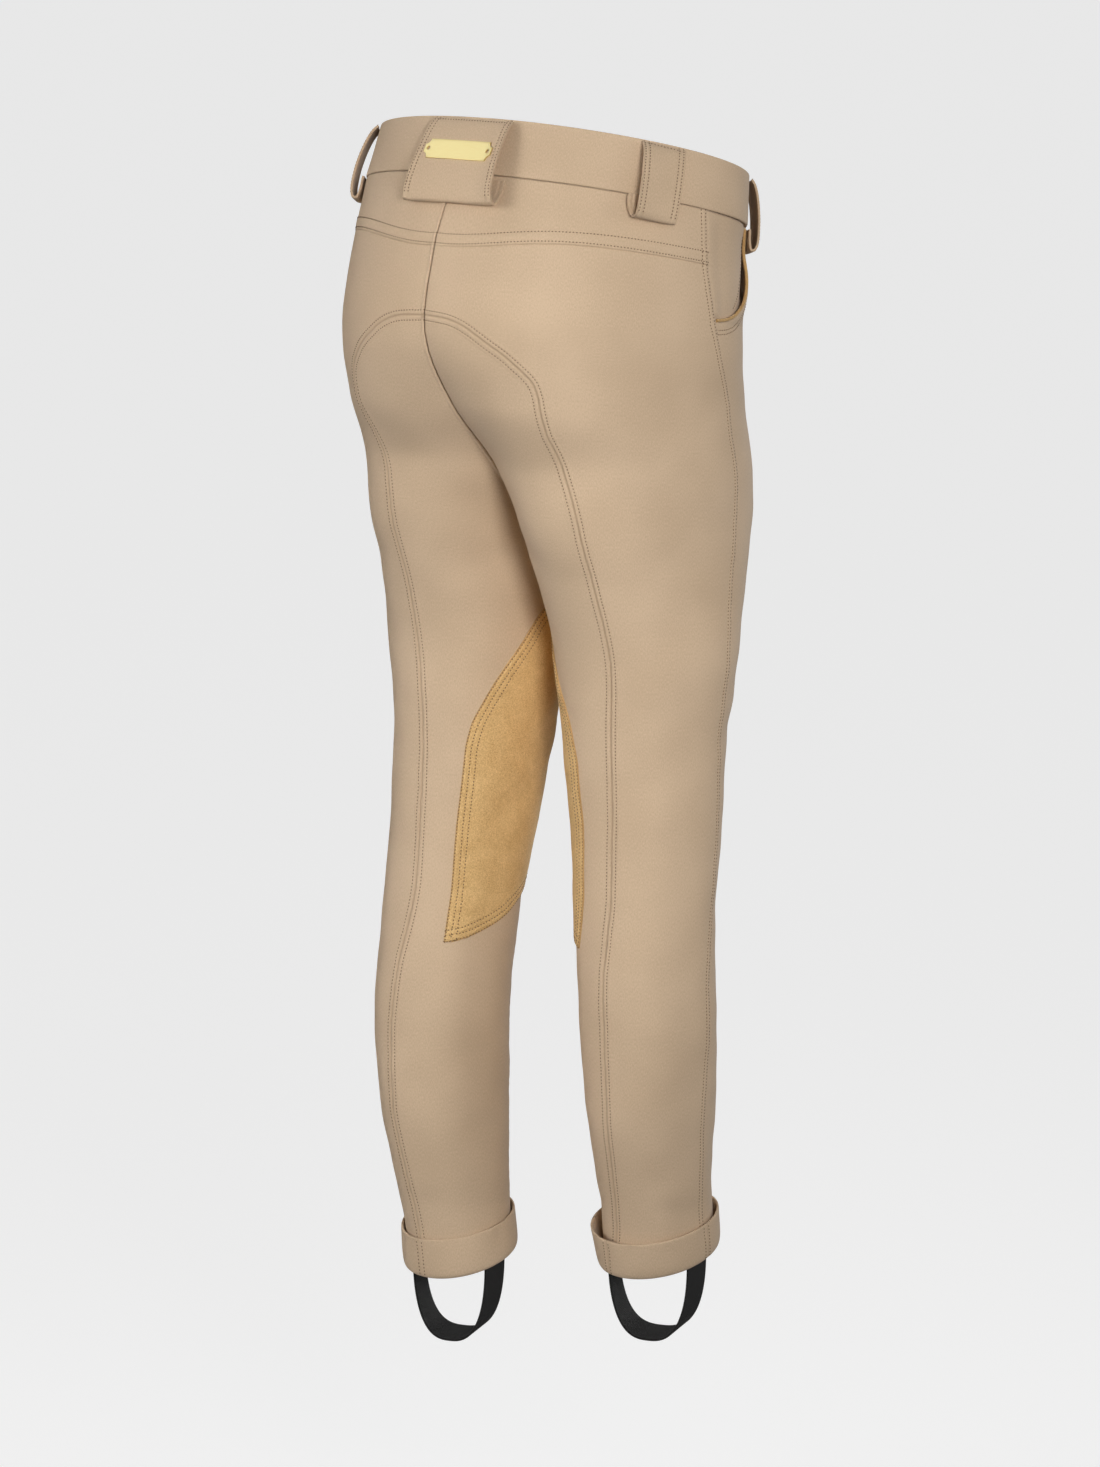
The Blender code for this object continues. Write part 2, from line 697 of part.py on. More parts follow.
def make_belt_loop(loop):
    """A strip that is folded under at the bottom and sewn down again at the waist seam."""
    columns = 6 if loop.width > WIDE_LOOP else 4
    section = [(out, share * loop.long) for out, share in LOOP_SECTION]
    last = len(section) - 1

    def place(u, row, off):
        out, down = section[row]
        before = section[max(row - 1, 0)]
        after = section[min(row + 1, last)]
        run = Vector((after[0] - before[0], after[1] - before[1])).normalized()
        step = off - LOOP_WALL / 2
        widening = 1 + loop.widens * (down / loop.long - 0.5)
        along = loop.width * widening * (u - 0.5)
        return loop_place(loop, along, down + run.x * step, out - run.y * step)

    walled_sheet(loop.name, columns, last, place, LOOP_WALL, "cloth")


def make_name_plate():
    """A bare plate with a round notch out of each corner, on the centre back loop."""
    half = PLATE_LENGTH / 2
    edges = [half]
    for degrees in (30, 60, 90):
        edges.append(half - PLATE_NOTCH * math.sin(math.radians(degrees)))
    edges += [half / 2, 0.0]
    columns = [-edge for edge in edges] + edges[-2::-1]
    face = smooth([(share * LOOPS[0].long, out) for out, share in LOOP_SECTION[:7]])
    clear = LOOP_WALL / 2 + SEAM_GAP

    def half_height(along):
        inside = max(abs(along) - (half - PLATE_NOTCH), 0.0)
        return PLATE_HEIGHT / 2 - math.sqrt(max(PLATE_NOTCH**2 - (PLATE_NOTCH - inside) ** 2, 0.0))

    def place(u, row, off):
        along = columns[round(u * (len(columns) - 1))]
        down = PLATE_DOWN + half_height(along) * (row - 1)
        out = face(down) + clear + PLATE_WALL - off
        return loop_place(LOOPS[0], along + PLATE_SHIFT, down, out)

    walled_sheet("name_plate", len(columns) - 1, 2, place, PLATE_WALL, "brass")


def make_fly_front():
    """The lapped front edge of the left leg, down to the end of the zip."""

    def outer_edge(side, down):
        share = max(down - FLY_STRAIGHT, 0.0) / (FLY_END - FLY_STRAIGHT)
        return centre_front(side, down) - FLY_WIDTH * math.sqrt(max(1 - share**2, 0.0))

    panel(
        "fly_front", LEFT, with_ends(FLY_ROWS, SEAM_GAP, 0), outer_edge, centre_front, 4,
        wall=FLY_WALL, proud=lambda side, around, down: FLY_GAP + FLY_WALL,
    )


def make_button():
    """A shank button with a raised rim, on the lapped end of the waistband."""
    out = BAND_PROUD + BAND_WALL + 2 * SEAM_GAP
    foot = round_waist(BUTTON_TURN, BUTTON_DOWN, out)
    off = (round_waist(BUTTON_TURN, BUTTON_DOWN, out + 1) - foot).normalized()
    bm = bmesh.new()
    bmesh.ops.create_circle(bm, cap_ends=True, segments=BUTTON_SIDES, radius=BUTTON_RADIUS * MM)
    disc = bm.faces[:]
    made = bmesh.ops.extrude_face_region(bm, geom=disc, use_keep_orig=True)
    top = [item for item in made["geom"] if isinstance(item, bmesh.types.BMVert)]
    bmesh.ops.translate(bm, verts=top, vec=(0, 0, BUTTON_WALL * MM))
    cap = [item for item in made["geom"] if isinstance(item, bmesh.types.BMFace)]
    bmesh.ops.inset_region(bm, faces=cap, thickness=BUTTON_RIM * MM, depth=0)
    bmesh.ops.inset_region(bm, faces=cap, thickness=BUTTON_SLOPE * MM, depth=-BUTTON_DISH * MM)
    turned = off.to_track_quat("Z", "Y").to_matrix().to_4x4()
    bmesh.ops.transform(bm, matrix=Matrix.Translation(foot) @ turned, verts=bm.verts)
    new_object("waistband_button", bm, "brass")


def make_materials():
    for name, (colour, roughness, metallic) in MATERIALS.items():
        material = bpy.data.materials.new(name)
        material.use_nodes = True
        shader = material.node_tree.nodes["Principled BSDF"]
        shader.inputs["Base Color"].default_value = colour
        shader.inputs["Roughness"].default_value = roughness
        shader.inputs["Metallic"].default_value = metallic


def main():
    for item in list(bpy.data.objects):
        bpy.data.objects.remove(item, do_unlink=True)
    make_materials()
    make_waistband()
    for side_name, side in SIDES.items():
        make_leg_panels(side_name, side)
        make_pocket(side_name, side)
        make_knee_patch(side_name, side)
        make_turn_up(side_name, side)
        make_foot_strap(side_name, side)
    for loop in LOOPS:
        make_belt_loop(loop)
    make_name_plate()
    make_fly_front()
    make_button()


main()
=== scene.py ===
# %% [markdown]
# A child's jodhpurs, dressed over a plain model. The plain model is a set of thin walled
# solids with the true sizes. This script replaces each of them with a finer shell: the same
# form, with soft folds, rolled seams, rows of stitches and woven, napped or polished finishes.

# %% Load the plain model
import math
from collections import namedtuple

import bmesh
import bpy
import numpy as np
from mathutils import Matrix, Vector
from mathutils.bvhtree import BVHTree
from mathutils.kdtree import KDTree


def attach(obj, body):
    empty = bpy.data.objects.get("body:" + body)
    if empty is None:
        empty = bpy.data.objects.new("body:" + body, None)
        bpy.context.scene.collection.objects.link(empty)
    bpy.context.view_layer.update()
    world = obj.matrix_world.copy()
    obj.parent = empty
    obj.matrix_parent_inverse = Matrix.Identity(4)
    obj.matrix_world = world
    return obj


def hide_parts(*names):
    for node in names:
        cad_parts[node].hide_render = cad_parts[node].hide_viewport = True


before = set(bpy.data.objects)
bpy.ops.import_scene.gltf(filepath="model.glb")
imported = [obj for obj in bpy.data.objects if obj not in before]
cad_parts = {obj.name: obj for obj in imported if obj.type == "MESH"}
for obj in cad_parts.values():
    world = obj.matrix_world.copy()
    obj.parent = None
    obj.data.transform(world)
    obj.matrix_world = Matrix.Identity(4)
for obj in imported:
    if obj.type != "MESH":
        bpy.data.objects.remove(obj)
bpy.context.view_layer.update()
print("plain model:", len(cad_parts), "nodes")

# %% [markdown]
# The camera comes first. It stands behind the garment and to the wearer's right, far away with
# a long lens, which keeps the legs nearly parallel in the picture. A short lens close by would
# swell the seat and shrink the hems.

# %% The camera
CAMERA_TURN = 38.0
CAMERA_REACH = 4.4
CAMERA_HEIGHT = 0.35
CAMERA_PITCH = 9.69
CAMERA_AIM_LEFT = 0.13
LENS = 158.8
LONG_SIDE = 36.0
CLIP_END = 200.0


def add_object(name, data):
    """An object with this data, in the scene."""
    made = bpy.data.objects.new(name, data)
    bpy.context.scene.collection.objects.link(made)
    return made


def stand(turn, reach, height):
    """A place round the garment. Turn 0 is behind it and grows to the wearer's right."""
    turn = math.radians(turn)
    return -reach * math.sin(turn), reach * math.cos(turn), height


def make_camera():
    data = bpy.data.cameras.new("camera")
    data.sensor_fit = "VERTICAL"
    data.sensor_height = LONG_SIDE
    data.lens = LENS
    data.clip_end = CLIP_END
    camera = add_object("camera", data)
    camera.location = stand(CAMERA_TURN, CAMERA_REACH, CAMERA_HEIGHT)
    camera.rotation_euler = (
        math.radians(90 - CAMERA_PITCH), 0, math.radians(CAMERA_TURN - 180 + CAMERA_AIM_LEFT)
    )
    bpy.context.scene.camera = camera
    return camera


camera = make_camera()
print("camera at", [round(value, 3) for value in camera.location])

# %% [markdown]
# Every place on the cloth has two coordinates: down, how far below the waist opening, and
# around, the turn seen from above, 0 at the back, 90 at the outer side of the leg, 180 at the
# front and 270 or -90 at its inside. One table of levels turns the two into a point. All of
# these sizes are in millimetres and degrees, and they repeat those of the plain model, so each
# fine shell lies where its solid is.

# %% Sizes of the cloth
MM = 0.001
LEFT = 1
RIGHT = -1
SIDES = {"left": LEFT, "right": RIGHT}

BAND_HEIGHT = 35.0
YOKE_DEPTH = 70.0
YOKE_DIP = 10.0
YOKE_DIP_WIDTH = 28.0
POCKET_DEPTH = 106.5
ARCH_TOP = 119.0
CROTCH = 246.0
PATCH_TOP = 290.0
PATCH_TIP = 540.0
HEM = 770.0
CLOTH_END = HEM - 3.0
INNER_TWIST_FADE = 60.0

STRIDE = 38.0
STRIDE_BEND = 1.3
RIGHT_LIFT = 4.0
NARROW_TOP = 690.0
NARROW_SHARE = 0.06

CLOTH_WALL = 1.5
SUEDE_WALL = 1.2
HALF_GAP = 0.01
MIDDLE_REACH = 0.6

Level = namedtuple("Level", "down side back_mid front_mid centre back front tilt")
LEVELS = [
    Level(0, 138, 0, 0, 0, 100, 97, 0.29),
    Level(40, 141, 0, 0, 8, 113, 100, 0.25),
    Level(84, 140, 9, 3, 12, 130, 105, 0.20),
    Level(126, 138, 20, 10, 16, 137, 113, 0.14),
    Level(168, 134, 42, 22, 13, 124, 117, 0.08),
    Level(209, 133, 57, 44, 9, 100, 113, 0.04),
    Level(CROTCH, 130, 65, 65, 7, 95, 104, 0.02),
    Level(282, 130, 67, 67, 4, 82, 89, 0.0),
    Level(335, 131, 70, 70, 3, 66, 69, 0.0),
    Level(397, 123, 69, 69, 6, 58, 60, 0.0),
    Level(460, 121, 71, 71, 11, 53, 54, 0.0),
    Level(523, 119, 72, 72, 18, 50, 49, -0.03),
    Level(586, 119, 73, 73, 22, 50, 49, -0.05),
    Level(648, 113, 70, 70, 19, 50, 48, -0.12),
    Level(700, 104, 65, 65, 13, 44, 43, -0.20),
    Level(742, 99, 61, 61, 8, 39, 39, -0.26),
    Level(HEM, 97, 58, 58, 5, 40, 40, -0.28),
]
print("levels:", len(LEVELS))

# %% Where the seams run
Mark = namedtuple("Mark", "down around")
ARCH_SEAM = [
    Mark(ARCH_TOP, -9), Mark(120.5, 1), Mark(124, 7), Mark(131, 13), Mark(141, 20),
    Mark(155, 25), Mark(170, 23), Mark(190, 17.5), Mark(216, 13.5), Mark(259, 12), Mark(330, 9),
    Mark(400, 6.5), Mark(470, 3), Mark(520, 1.5), Mark(600, 3.5), Mark(650, 4), Mark(HEM, -5),
]
SIDE_SEAM = [
    Mark(0, 79), Mark(BAND_HEIGHT, 81), Mark(YOKE_DEPTH, 84), Mark(100, 89), Mark(131, 96),
    Mark(168, 103), Mark(240, 102), Mark(331, 96), Mark(385, 98), Mark(480, 104),
    Mark(600, 106), Mark(671, 102), Mark(HEM, 102),
]
INNER_SEAM = [
    Mark(CROTCH, 270), Mark(262, 256), Mark(290, 244), Mark(330, 236), Mark(380, 230),
    Mark(640, 226), Mark(HEM, 222),
]
POCKET_MOUTH = [
    Mark(BAND_HEIGHT, 122), Mark(58, 121), Mark(78, 118), Mark(92, 112), Mark(100.5, 105),
    Mark(104.7, 98), Mark(POCKET_DEPTH, 91),
]
TWIST = [
    Mark(0, 0), Mark(168, 0), Mark(200, 3.5), Mark(250, 8), Mark(500, 8), Mark(530, 4),
    Mark(560, -1), Mark(620, -4), Mark(700, -5), Mark(HEM, -9),
]
PATCH_BACK = [
    Mark(PATCH_TOP, -113), Mark(300, -98), Mark(313, -77), Mark(334, -62), Mark(353, -49),
    Mark(379, -35.5), Mark(392, -30), Mark(410, -27), Mark(455, -27), Mark(500, -29),
    Mark(519, -31), Mark(PATCH_TIP, -34),
]
PATCH_FOOT = [
    Mark(PATCH_TOP, -150), Mark(505, -150), Mark(512, -125), Mark(520, -98), Mark(527, -84),
    Mark(533, -68), Mark(538, -50), Mark(PATCH_TIP, -34),
]
print("seam marks:", len(ARCH_SEAM) + len(SIDE_SEAM) + len(INNER_SEAM))


# %% Smooth curves through the tables
def smooth(marks):
    """A curve through (place, value) pairs that never swings past them. It takes arrays."""
    places = np.array([mark[0] for mark in marks], float)
    values = np.array([mark[1] for mark in marks], float)
    rises = np.diff(values) / np.diff(places)
    product = rises[:-1] * rises[1:]
    total = rises[:-1] + rises[1:]
    inner = np.divide(2 * product, total, out=np.zeros_like(total), where=product > 0)
    slopes = np.concatenate(([rises[0]], inner, [rises[-1]]))

    def value(place):
        place = np.clip(place, places[0], places[-1])
        i = np.clip(np.searchsorted(places, place, side="right") - 1, 0, len(places) - 2)
        step = places[i + 1] - places[i]
        t = (place - places[i]) / step
        return (
            (2 * t**3 - 3 * t**2 + 1) * values[i]
            + (t**3 - 2 * t**2 + t) * step * slopes[i]
            + (3 * t**2 - 2 * t**3) * values[i + 1]
            + (t**3 - t**2) * step * slopes[i + 1]
        )

    return value


def ease(t):
    """Rise smoothly from 0 to 1 as t goes from 0 to 1."""
    t = np.clip(t, 0.0, 1.0)
    return t * t * (3 - 2 * t)


def bell(away, width):
    """1 where away is 0, fading out on both sides over a width."""
    return np.exp(-((away / width) ** 2))


def unit(vectors):
    return vectors / np.linalg.norm(vectors, axis=-1, keepdims=True)


def turn_from(place, around):
    """The turn from a place to others, the short way round."""
    return (around - place + 180) % 360 - 180


level = {
    name: smooth([(row.down, getattr(row, name)) for row in LEVELS])
    for name in Level._fields[1:]
}
arch_curve = smooth(ARCH_SEAM)
side_curve = smooth(SIDE_SEAM)
inner_curve = smooth(INNER_SEAM)
mouth_curve = smooth(POCKET_MOUTH)
twist_curve = smooth(TWIST)
patch_back_curve = smooth(PATCH_BACK)
patch_foot_curve = smooth(PATCH_FOOT)
print("half width at the knee:", round(float(level["side"](460)), 1), "mm")


# %% From down and around to a point
PROBE = 0.5


def surface(side, around, down):
    """Points of the smooth outer face, in millimetres."""
    around, down = np.broadcast_arrays(np.asarray(around, float), np.asarray(down, float))
    sine = np.sin(np.radians(around))
    cosine = np.cos(np.radians(around))
    behind = cosine > 0
    mid = np.where(behind, level["back_mid"](down), level["front_mid"](down))
    mid = np.maximum(mid, 0.0)
    depth = np.where(behind, level["back"](down), level["front"](down))
    width = 1.0
    if side == LEFT:
        width = 1 - NARROW_SHARE * ease((down - NARROW_TOP) / (HEM - NARROW_TOP))
    x = mid + (level["side"](down) - mid) * sine * width
    y = depth * cosine * width
    z = level["tilt"](down) * y - down
    low = np.maximum(down - CROTCH, 0.0) / (HEM - CROTCH)
    y = y + level["centre"](down) + side * STRIDE * low**STRIDE_BEND
    if side == RIGHT:
        z = z + RIGHT_LIFT * low
    return np.stack((side * x, y, z), axis=-1)


def slopes(side, around, down):
    """How a point moves for one degree around and for one millimetre down."""
    here = surface(side, around, down)
    per_degree = (surface(side, around + PROBE, down) - here) / PROBE
    per_mm = (surface(side, around, down + PROBE) - here) / PROBE
    return per_degree, per_mm


def outward(side, around, down):
    """Unit directions off the cloth."""
    per_degree, per_mm = slopes(side, around, down)
    return unit(np.cross(per_degree, per_mm) * side)


def degrees_for(length, down):
    """The turn that a short length round the cloth takes."""
    radius = level["side"](down) - np.maximum(level["back_mid"](down), 0.0)
    return np.degrees(length / radius)


print("a point at the back of the right knee:", surface(RIGHT, 0, 430).round(1))

# %% [markdown]
# Stretch cloth that is filled out has few folds, and they are shallow: drag lines under the
# seat and at the crotch, short troughs at the inside and the front of the knee, and long soft
# ones down the calf. A cloth simulation would settle the panels anywhere, so each fold is
# placed one by one: how far it runs, how wide and deep it is, and its slant. Slant 0 runs round
# the leg and 90 runs down it. Their sizes are uneven, and the hidden front has its own folds.

# %% The folds
Fold = namedtuple("Fold", "side down around long wide deep slant")
FOLDS = [
    Fold(LEFT, 398, -104, 34, 13, -1.8, 50), Fold(LEFT, 436, -100, 30, 12, -1.5, 40),
    Fold(RIGHT, 404, -100, 34, 13, -1.6, 50), Fold(RIGHT, 440, -104, 30, 12, -1.5, 40),
    Fold(LEFT, 214, 214, 40, 13, -2.0, -35), Fold(RIGHT, 218, 210, 40, 13, -2.0, -35),
    Fold(LEFT, 424, 170, 32, 13, -1.4, -8), Fold(RIGHT, 430, 176, 32, 13, -1.4, 8),
    Fold(LEFT, 712, 168, 28, 12, -1.4, 10), Fold(RIGHT, 716, 160, 28, 12, -1.4, -10),
    Fold(RIGHT, 236, 2, 46, 11, -0.7, 28), Fold(RIGHT, 262, -34, 34, 9, -0.8, 44),
    Fold(RIGHT, 300, 66, 60, 19, -0.5, -70), Fold(RIGHT, 352, 128, 34, 11, -0.9, -18),
    Fold(RIGHT, 371, 138, 26, 8, 0.7, -12), Fold(RIGHT, 389, 131, 36, 9, -1.1, -24),
    Fold(RIGHT, 420, 24, 44, 15, -0.6, 12), Fold(RIGHT, 449, -12, 30, 11, -0.7, -22),
    Fold(RIGHT, 470, 58, 34, 12, -0.5, 18), Fold(RIGHT, 560, -18, 84, 9, -0.7, 94),
    Fold(RIGHT, 606, 78, 92, 12, -0.9, 84), Fold(RIGHT, 655, 34, 64, 14, -0.6, 88),
    Fold(RIGHT, 690, 112, 50, 10, -0.8, 80), Fold(RIGHT, 727, 68, 30, 8, -0.9, 14),
    Fold(RIGHT, 719, -26, 28, 8, -0.9, -16), Fold(RIGHT, 703, 22, 24, 8, -0.5, 6),
    Fold(LEFT, 240, -30, 42, 10, -0.8, 30), Fold(LEFT, 274, -52, 36, 10, -0.9, 40),
    Fold(LEFT, 318, -84, 50, 14, -0.8, 62), Fold(LEFT, 377, -112, 28, 8, 0.8, 46),
    Fold(LEFT, 418, -122, 24, 7, 0.7, 44), Fold(LEFT, 452, -78, 40, 10, -0.9, 58),
    Fold(LEFT, 330, 20, 60, 18, -0.5, 78), Fold(LEFT, 470, 34, 36, 13, -0.6, -14),
    Fold(LEFT, 588, -70, 90, 13, -0.9, 92), Fold(LEFT, 640, -20, 80, 12, -0.6, 86),
    Fold(LEFT, 612, 62, 70, 12, -0.7, 96), Fold(LEFT, 726, -64, 30, 8, -1.0, -12),
    Fold(LEFT, 716, -8, 26, 8, -0.6, 10), Fold(LEFT, 705, 74, 28, 9, -0.7, -8),
    Fold(LEFT, 196, 196, 34, 9, -1.2, -48), Fold(RIGHT, 190, 192, 30, 8, -1.0, -52),
    Fold(LEFT, 246, 226, 34, 9, -1.3, -22), Fold(RIGHT, 252, 224, 32, 9, -1.1, -26),
    Fold(LEFT, 300, 150, 70, 20, -0.7, 80), Fold(RIGHT, 322, 168, 66, 18, -0.7, 96),
    Fold(LEFT, 396, 160, 30, 9, -1.0, 14), Fold(RIGHT, 408, 160, 26, 9, -0.9, -16),
    Fold(LEFT, 452, 182, 30, 10, -1.0, -16), Fold(RIGHT, 458, 186, 28, 9, -0.9, 14),
    Fold(LEFT, 590, 178, 84, 12, -0.9, 88), Fold(RIGHT, 612, 186, 78, 12, -0.8, 93),
    Fold(LEFT, 690, 196, 30, 9, -0.8, 24), Fold(RIGHT, 694, 200, 28, 9, -0.8, -20),
]
LEG_RADIUS = 50.0
FOLD_CLEAR = 25.0
Wave = namedtuple("Wave", "high along beside start")
WAVES = [Wave(0.16, 91.0, 3.0, 0.4), Wave(0.12, 47.0, 5.0, 1.9), Wave(0.09, 29.0, -4.0, 3.1)]


def fold_depth(side, around, down):
    """How far the folds push the cloth out or, below zero, in."""
    total = np.zeros(np.broadcast(around, down).shape)
    for fold in FOLDS:
        if fold.side != side:
            continue
        across = LEG_RADIUS * np.radians(turn_from(fold.around, around))
        fall = down - fold.down
        turn = math.radians(fold.slant)
        along = across * math.cos(turn) + fall * math.sin(turn)
        beside = fall * math.cos(turn) - across * math.sin(turn)
        total += fold.deep * bell(along, fold.long) * bell(beside, fold.wide)
    for wave in WAVES:
        swing = down / wave.along * 2 * np.pi + np.radians(around) * wave.beside
        total += wave.high * np.sin(swing + wave.start + side)
    return total


def cloth(side, around, down, out=0.0):
    """Points off the folded outer face, in millimetres."""
    point = surface(side, around, down)
    clear = ease(np.abs(point[..., 0]) / FOLD_CLEAR)
    off = out + fold_depth(side, around, down) * clear
    return point + outward(side, around, down) * off[..., None]


print("folds:", len(FOLDS))

# %% [markdown]
# A seam is what makes cloth look sewn. Both edges roll in to a narrow ditch. Where the seam
# is topstitched, the allowance behind it lifts a flat band, the needle draws a shallow channel
# along each row, and the cloth between stitches puckers a little. Nearly all of it depends only
# on the distance to the seam, so one profile serves every panel. An edge has the depth of its
# roll, the width and lift of its band, the stitch rows' distances from the seam, and pale, which
# counts as extra distance where the cloth takes the darker colour painted along the seam: partly
# soil, and partly painted shade in the seam's groove.

# %% Edges of a panel
Edge = namedtuple("Edge", "roll band lift rows pale")
WAIST_DITCH = Edge(0.45, 0.0, 0.0, (), 0.4)
PLAIN_SEAM = Edge(0.4, 0.0, 0.0, (), 0.7)
FLAT_SEAM = Edge(0.2, 0.0, 0.0, (), 0.9)
RIDGE_SEAM = Edge(0.4, 1.7, 0.85, (), 1.2)
YOKE_LAP = Edge(0.2, 8.9, 0.40, (1.7, 8.4), 0.9)
SIDE_LAP = Edge(0.2, 5.3, 0.40, (1.3, 5.0), 0.9)
ARCH_OUTER = Edge(0.6, 4.2, 0.40, (3.0,), 0.0)
ARCH_INNER = Edge(0.6, 4.9, 0.40, (3.7,), 0.0)
POCKET_EDGE = Edge(0.3, 9.0, 0.25, (5.4, 8.2), 0.4)
CUT_EDGE = Edge(0.3, 0.0, 0.0, (), 0.4)
FLY_EDGE = Edge(0.3, 6.0, 0.15, (2.2, 5.0), 0.4)
PATCH_EDGE = Edge(0.25, 0.0, 0.0, (0.7, 4.3, 8.0), 0.0)

ROLL_REACH = 0.8
BAND_SLOPE = 1.2
CHANNEL_DEEP = 0.32
CHANNEL_WIDE = 0.75
PUCKER_HIGH = 0.10
PUCKER_LONG = 11.0
PUCKER_REACH = 7.0
PUCKER_STRAY = 1.7
PUCKER_STRAY_LONG = 6.1
SEAM_REACH = 12.0


def edge_relief(edge, distance, along):
    """The relief at a distance from a seam, at a place along it."""
    relief = -edge.roll * bell(distance, ROLL_REACH)
    relief += edge.lift * (1 - ease((distance - edge.band) / BAND_SLOPE))
    for row in edge.rows:
        relief -= CHANNEL_DEEP * bell(distance - row, CHANNEL_WIDE)
    stray = PUCKER_STRAY * np.sin(along / PUCKER_STRAY_LONG)
    swing = along / PUCKER_LONG * 2 * np.pi + stray
    return relief + PUCKER_HIGH * np.sin(swing) * bell(distance, PUCKER_REACH)


def evenly(points, pitch):
    """Points along a line of points, one every pitch."""
    steps = np.linalg.norm(np.diff(points, axis=0), axis=1)
    reach = np.concatenate(([0.0], np.cumsum(steps)))
    count = max(2, int(reach[-1] / pitch) + 1)
    stops = np.linspace(0.0, reach[-1], count)
    return np.stack([np.interp(stops, reach, points[:, axis]) for axis in range(3)], axis=1)


def distance_to(points, line, pitch=0.6):
    """For each point, how far the line is and how far along it the nearest place is."""
    stops = evenly(line, pitch)
    tree = KDTree(len(stops))
    for index, stop in enumerate(stops):
        tree.insert(stop, index)
    tree.balance()
    found = np.array([tree.find(point)[1:] for point in points.reshape(-1, 3)])
    found = found.reshape(*points.shape[:-1], 2)
    return found[..., 1], found[..., 0] * pitch


print("a yoke seam lifts the cloth by",
      edge_relief(YOKE_LAP, np.array([5.0]), np.array([0.0])).round(2), "mm")

# %% [markdown]
# Each piece of cloth starts as one bmesh grid. Its corners are moved to the garment, and the
# wall comes from a Solidify modifier, so the fine outer face and the plain inner one need no
# second set of points. The grid carries the flat cut in a UV map, in decimetres, for the weave,
# and the distance to the nearest seam in an attribute, for the darker colour painted along it:
# partly soil, and partly painted shade in the seam's groove.

# %% A sheet from a grid
UV_SCALE = 0.01
MERGE_DISTANCE = 0.00001
RIM_SEGMENTS = 3
RIM_ANGLE = 50
sheet_trees = {}


def crowd(count, share=0.72):
    """Shares from 0 to 1, closer together towards both ends."""
    even = np.linspace(0.0, 1.0, count + 1)
    return even - share * np.sin(2 * np.pi * even) / (2 * np.pi)


def stretches(*parts):
    """Heights in steps. Each part is (from, to, step)."""
    stops = [
        np.linspace(start, end, max(1, round((end - start) / step)), endpoint=False)
        for start, end, step in parts
    ]
    return np.concatenate(stops + [[parts[-1][1]]])


def flat_cut(points):
    """Where each grid point lies in the flat cut, and the cut's width, length and area."""
    across = np.linalg.norm(np.diff(points, axis=1), axis=2)
    downwards = np.linalg.norm(np.diff(points, axis=0), axis=2)
    across = np.concatenate((np.zeros((len(points), 1)), np.cumsum(across, axis=1)), axis=1)
    middle = across.shape[1] // 2
    fall = np.concatenate(([0.0], np.cumsum(downwards[:, middle])))
    across_cut = across - across[:, middle:middle + 1]
    length_cut = np.broadcast_to(fall[:, None], across.shape)
    sides = np.cross(
        points[1:, 1:] - points[:-1, :-1], points[1:, :-1] - points[:-1, 1:]
    )
    area = np.linalg.norm(sides, axis=2).sum() / 2
    size = (across[:, -1].max() * MM, downwards.sum(axis=0).max() * MM, area * MM * MM)
    return np.stack((across_cut, length_cut), axis=-1) * UV_SCALE, size


def grid_mesh(points, cuts, seams, off):
    """A bmesh grid moved to the points, facing the way that off points."""
    rows, columns = points.shape[0] - 1, points.shape[1] - 1
    bm = bmesh.new()
    bmesh.ops.create_grid(bm, x_segments=columns, y_segments=rows, size=0.5)
    seam_layer = bm.verts.layers.float.new("seam")
    cut_layer = bm.loops.layers.uv.new("cut")
    spots = {}
    for vert in bm.verts:
        spot = (round((vert.co.y + 0.5) * rows), round((vert.co.x + 0.5) * columns))
        spots[vert] = spot
        vert[seam_layer] = seams[spot]
    for face in bm.faces:
        for loop in face.loops:
            loop[cut_layer].uv = cuts[spots[loop.vert]]
    for vert, spot in spots.items():
        vert.co = points[spot] * MM
    bm.normal_update()
    facing = sum(
        face.normal.dot(Vector(off[spots[face.verts[0]]])) for face in bm.faces
    )
    if facing < 0:
        bmesh.ops.reverse_faces(bm, faces=bm.faces)
    bmesh.ops.remove_doubles(bm, verts=bm.verts, dist=MERGE_DISTANCE)
    bmesh.ops.dissolve_degenerate(bm, edges=bm.edges, dist=MERGE_DISTANCE)
    return bm


def add_mesh(name, bm):
    """An object with a bmesh's form."""
    mesh = bpy.data.meshes.new(name)
    bm.to_mesh(mesh)
    bm.free()
    return add_object(name, mesh)


def add_piece(name, bm, material, node=None):
    """Make a bmesh a finished, smooth piece of the garment."""
    piece = add_mesh(name, bm)
    piece.data.shade_smooth()
    piece.data.materials.append(bpy.data.materials[material])
    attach(piece, "root")
    if node:
        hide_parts(node)
    return piece


def add_bevel(piece, width, segments, angle):
    """Round the edges that bend by more than an angle."""
    bevel = piece.modifiers.new("rim", "BEVEL")
    bevel.width = width * MM
    bevel.segments = segments
    bevel.limit_method = "ANGLE"
    bevel.angle_limit = math.radians(angle)


def add_wall(piece, wall, rim=0.0):
    """Give a sheet its wall, behind its face, and round the rim of the wall."""
    solid = piece.modifiers.new("wall", "SOLIDIFY")
    solid.thickness = wall * MM
    solid.offset = -1.0
    if rim:
        add_bevel(piece, rim, RIM_SEGMENTS, RIM_ANGLE)


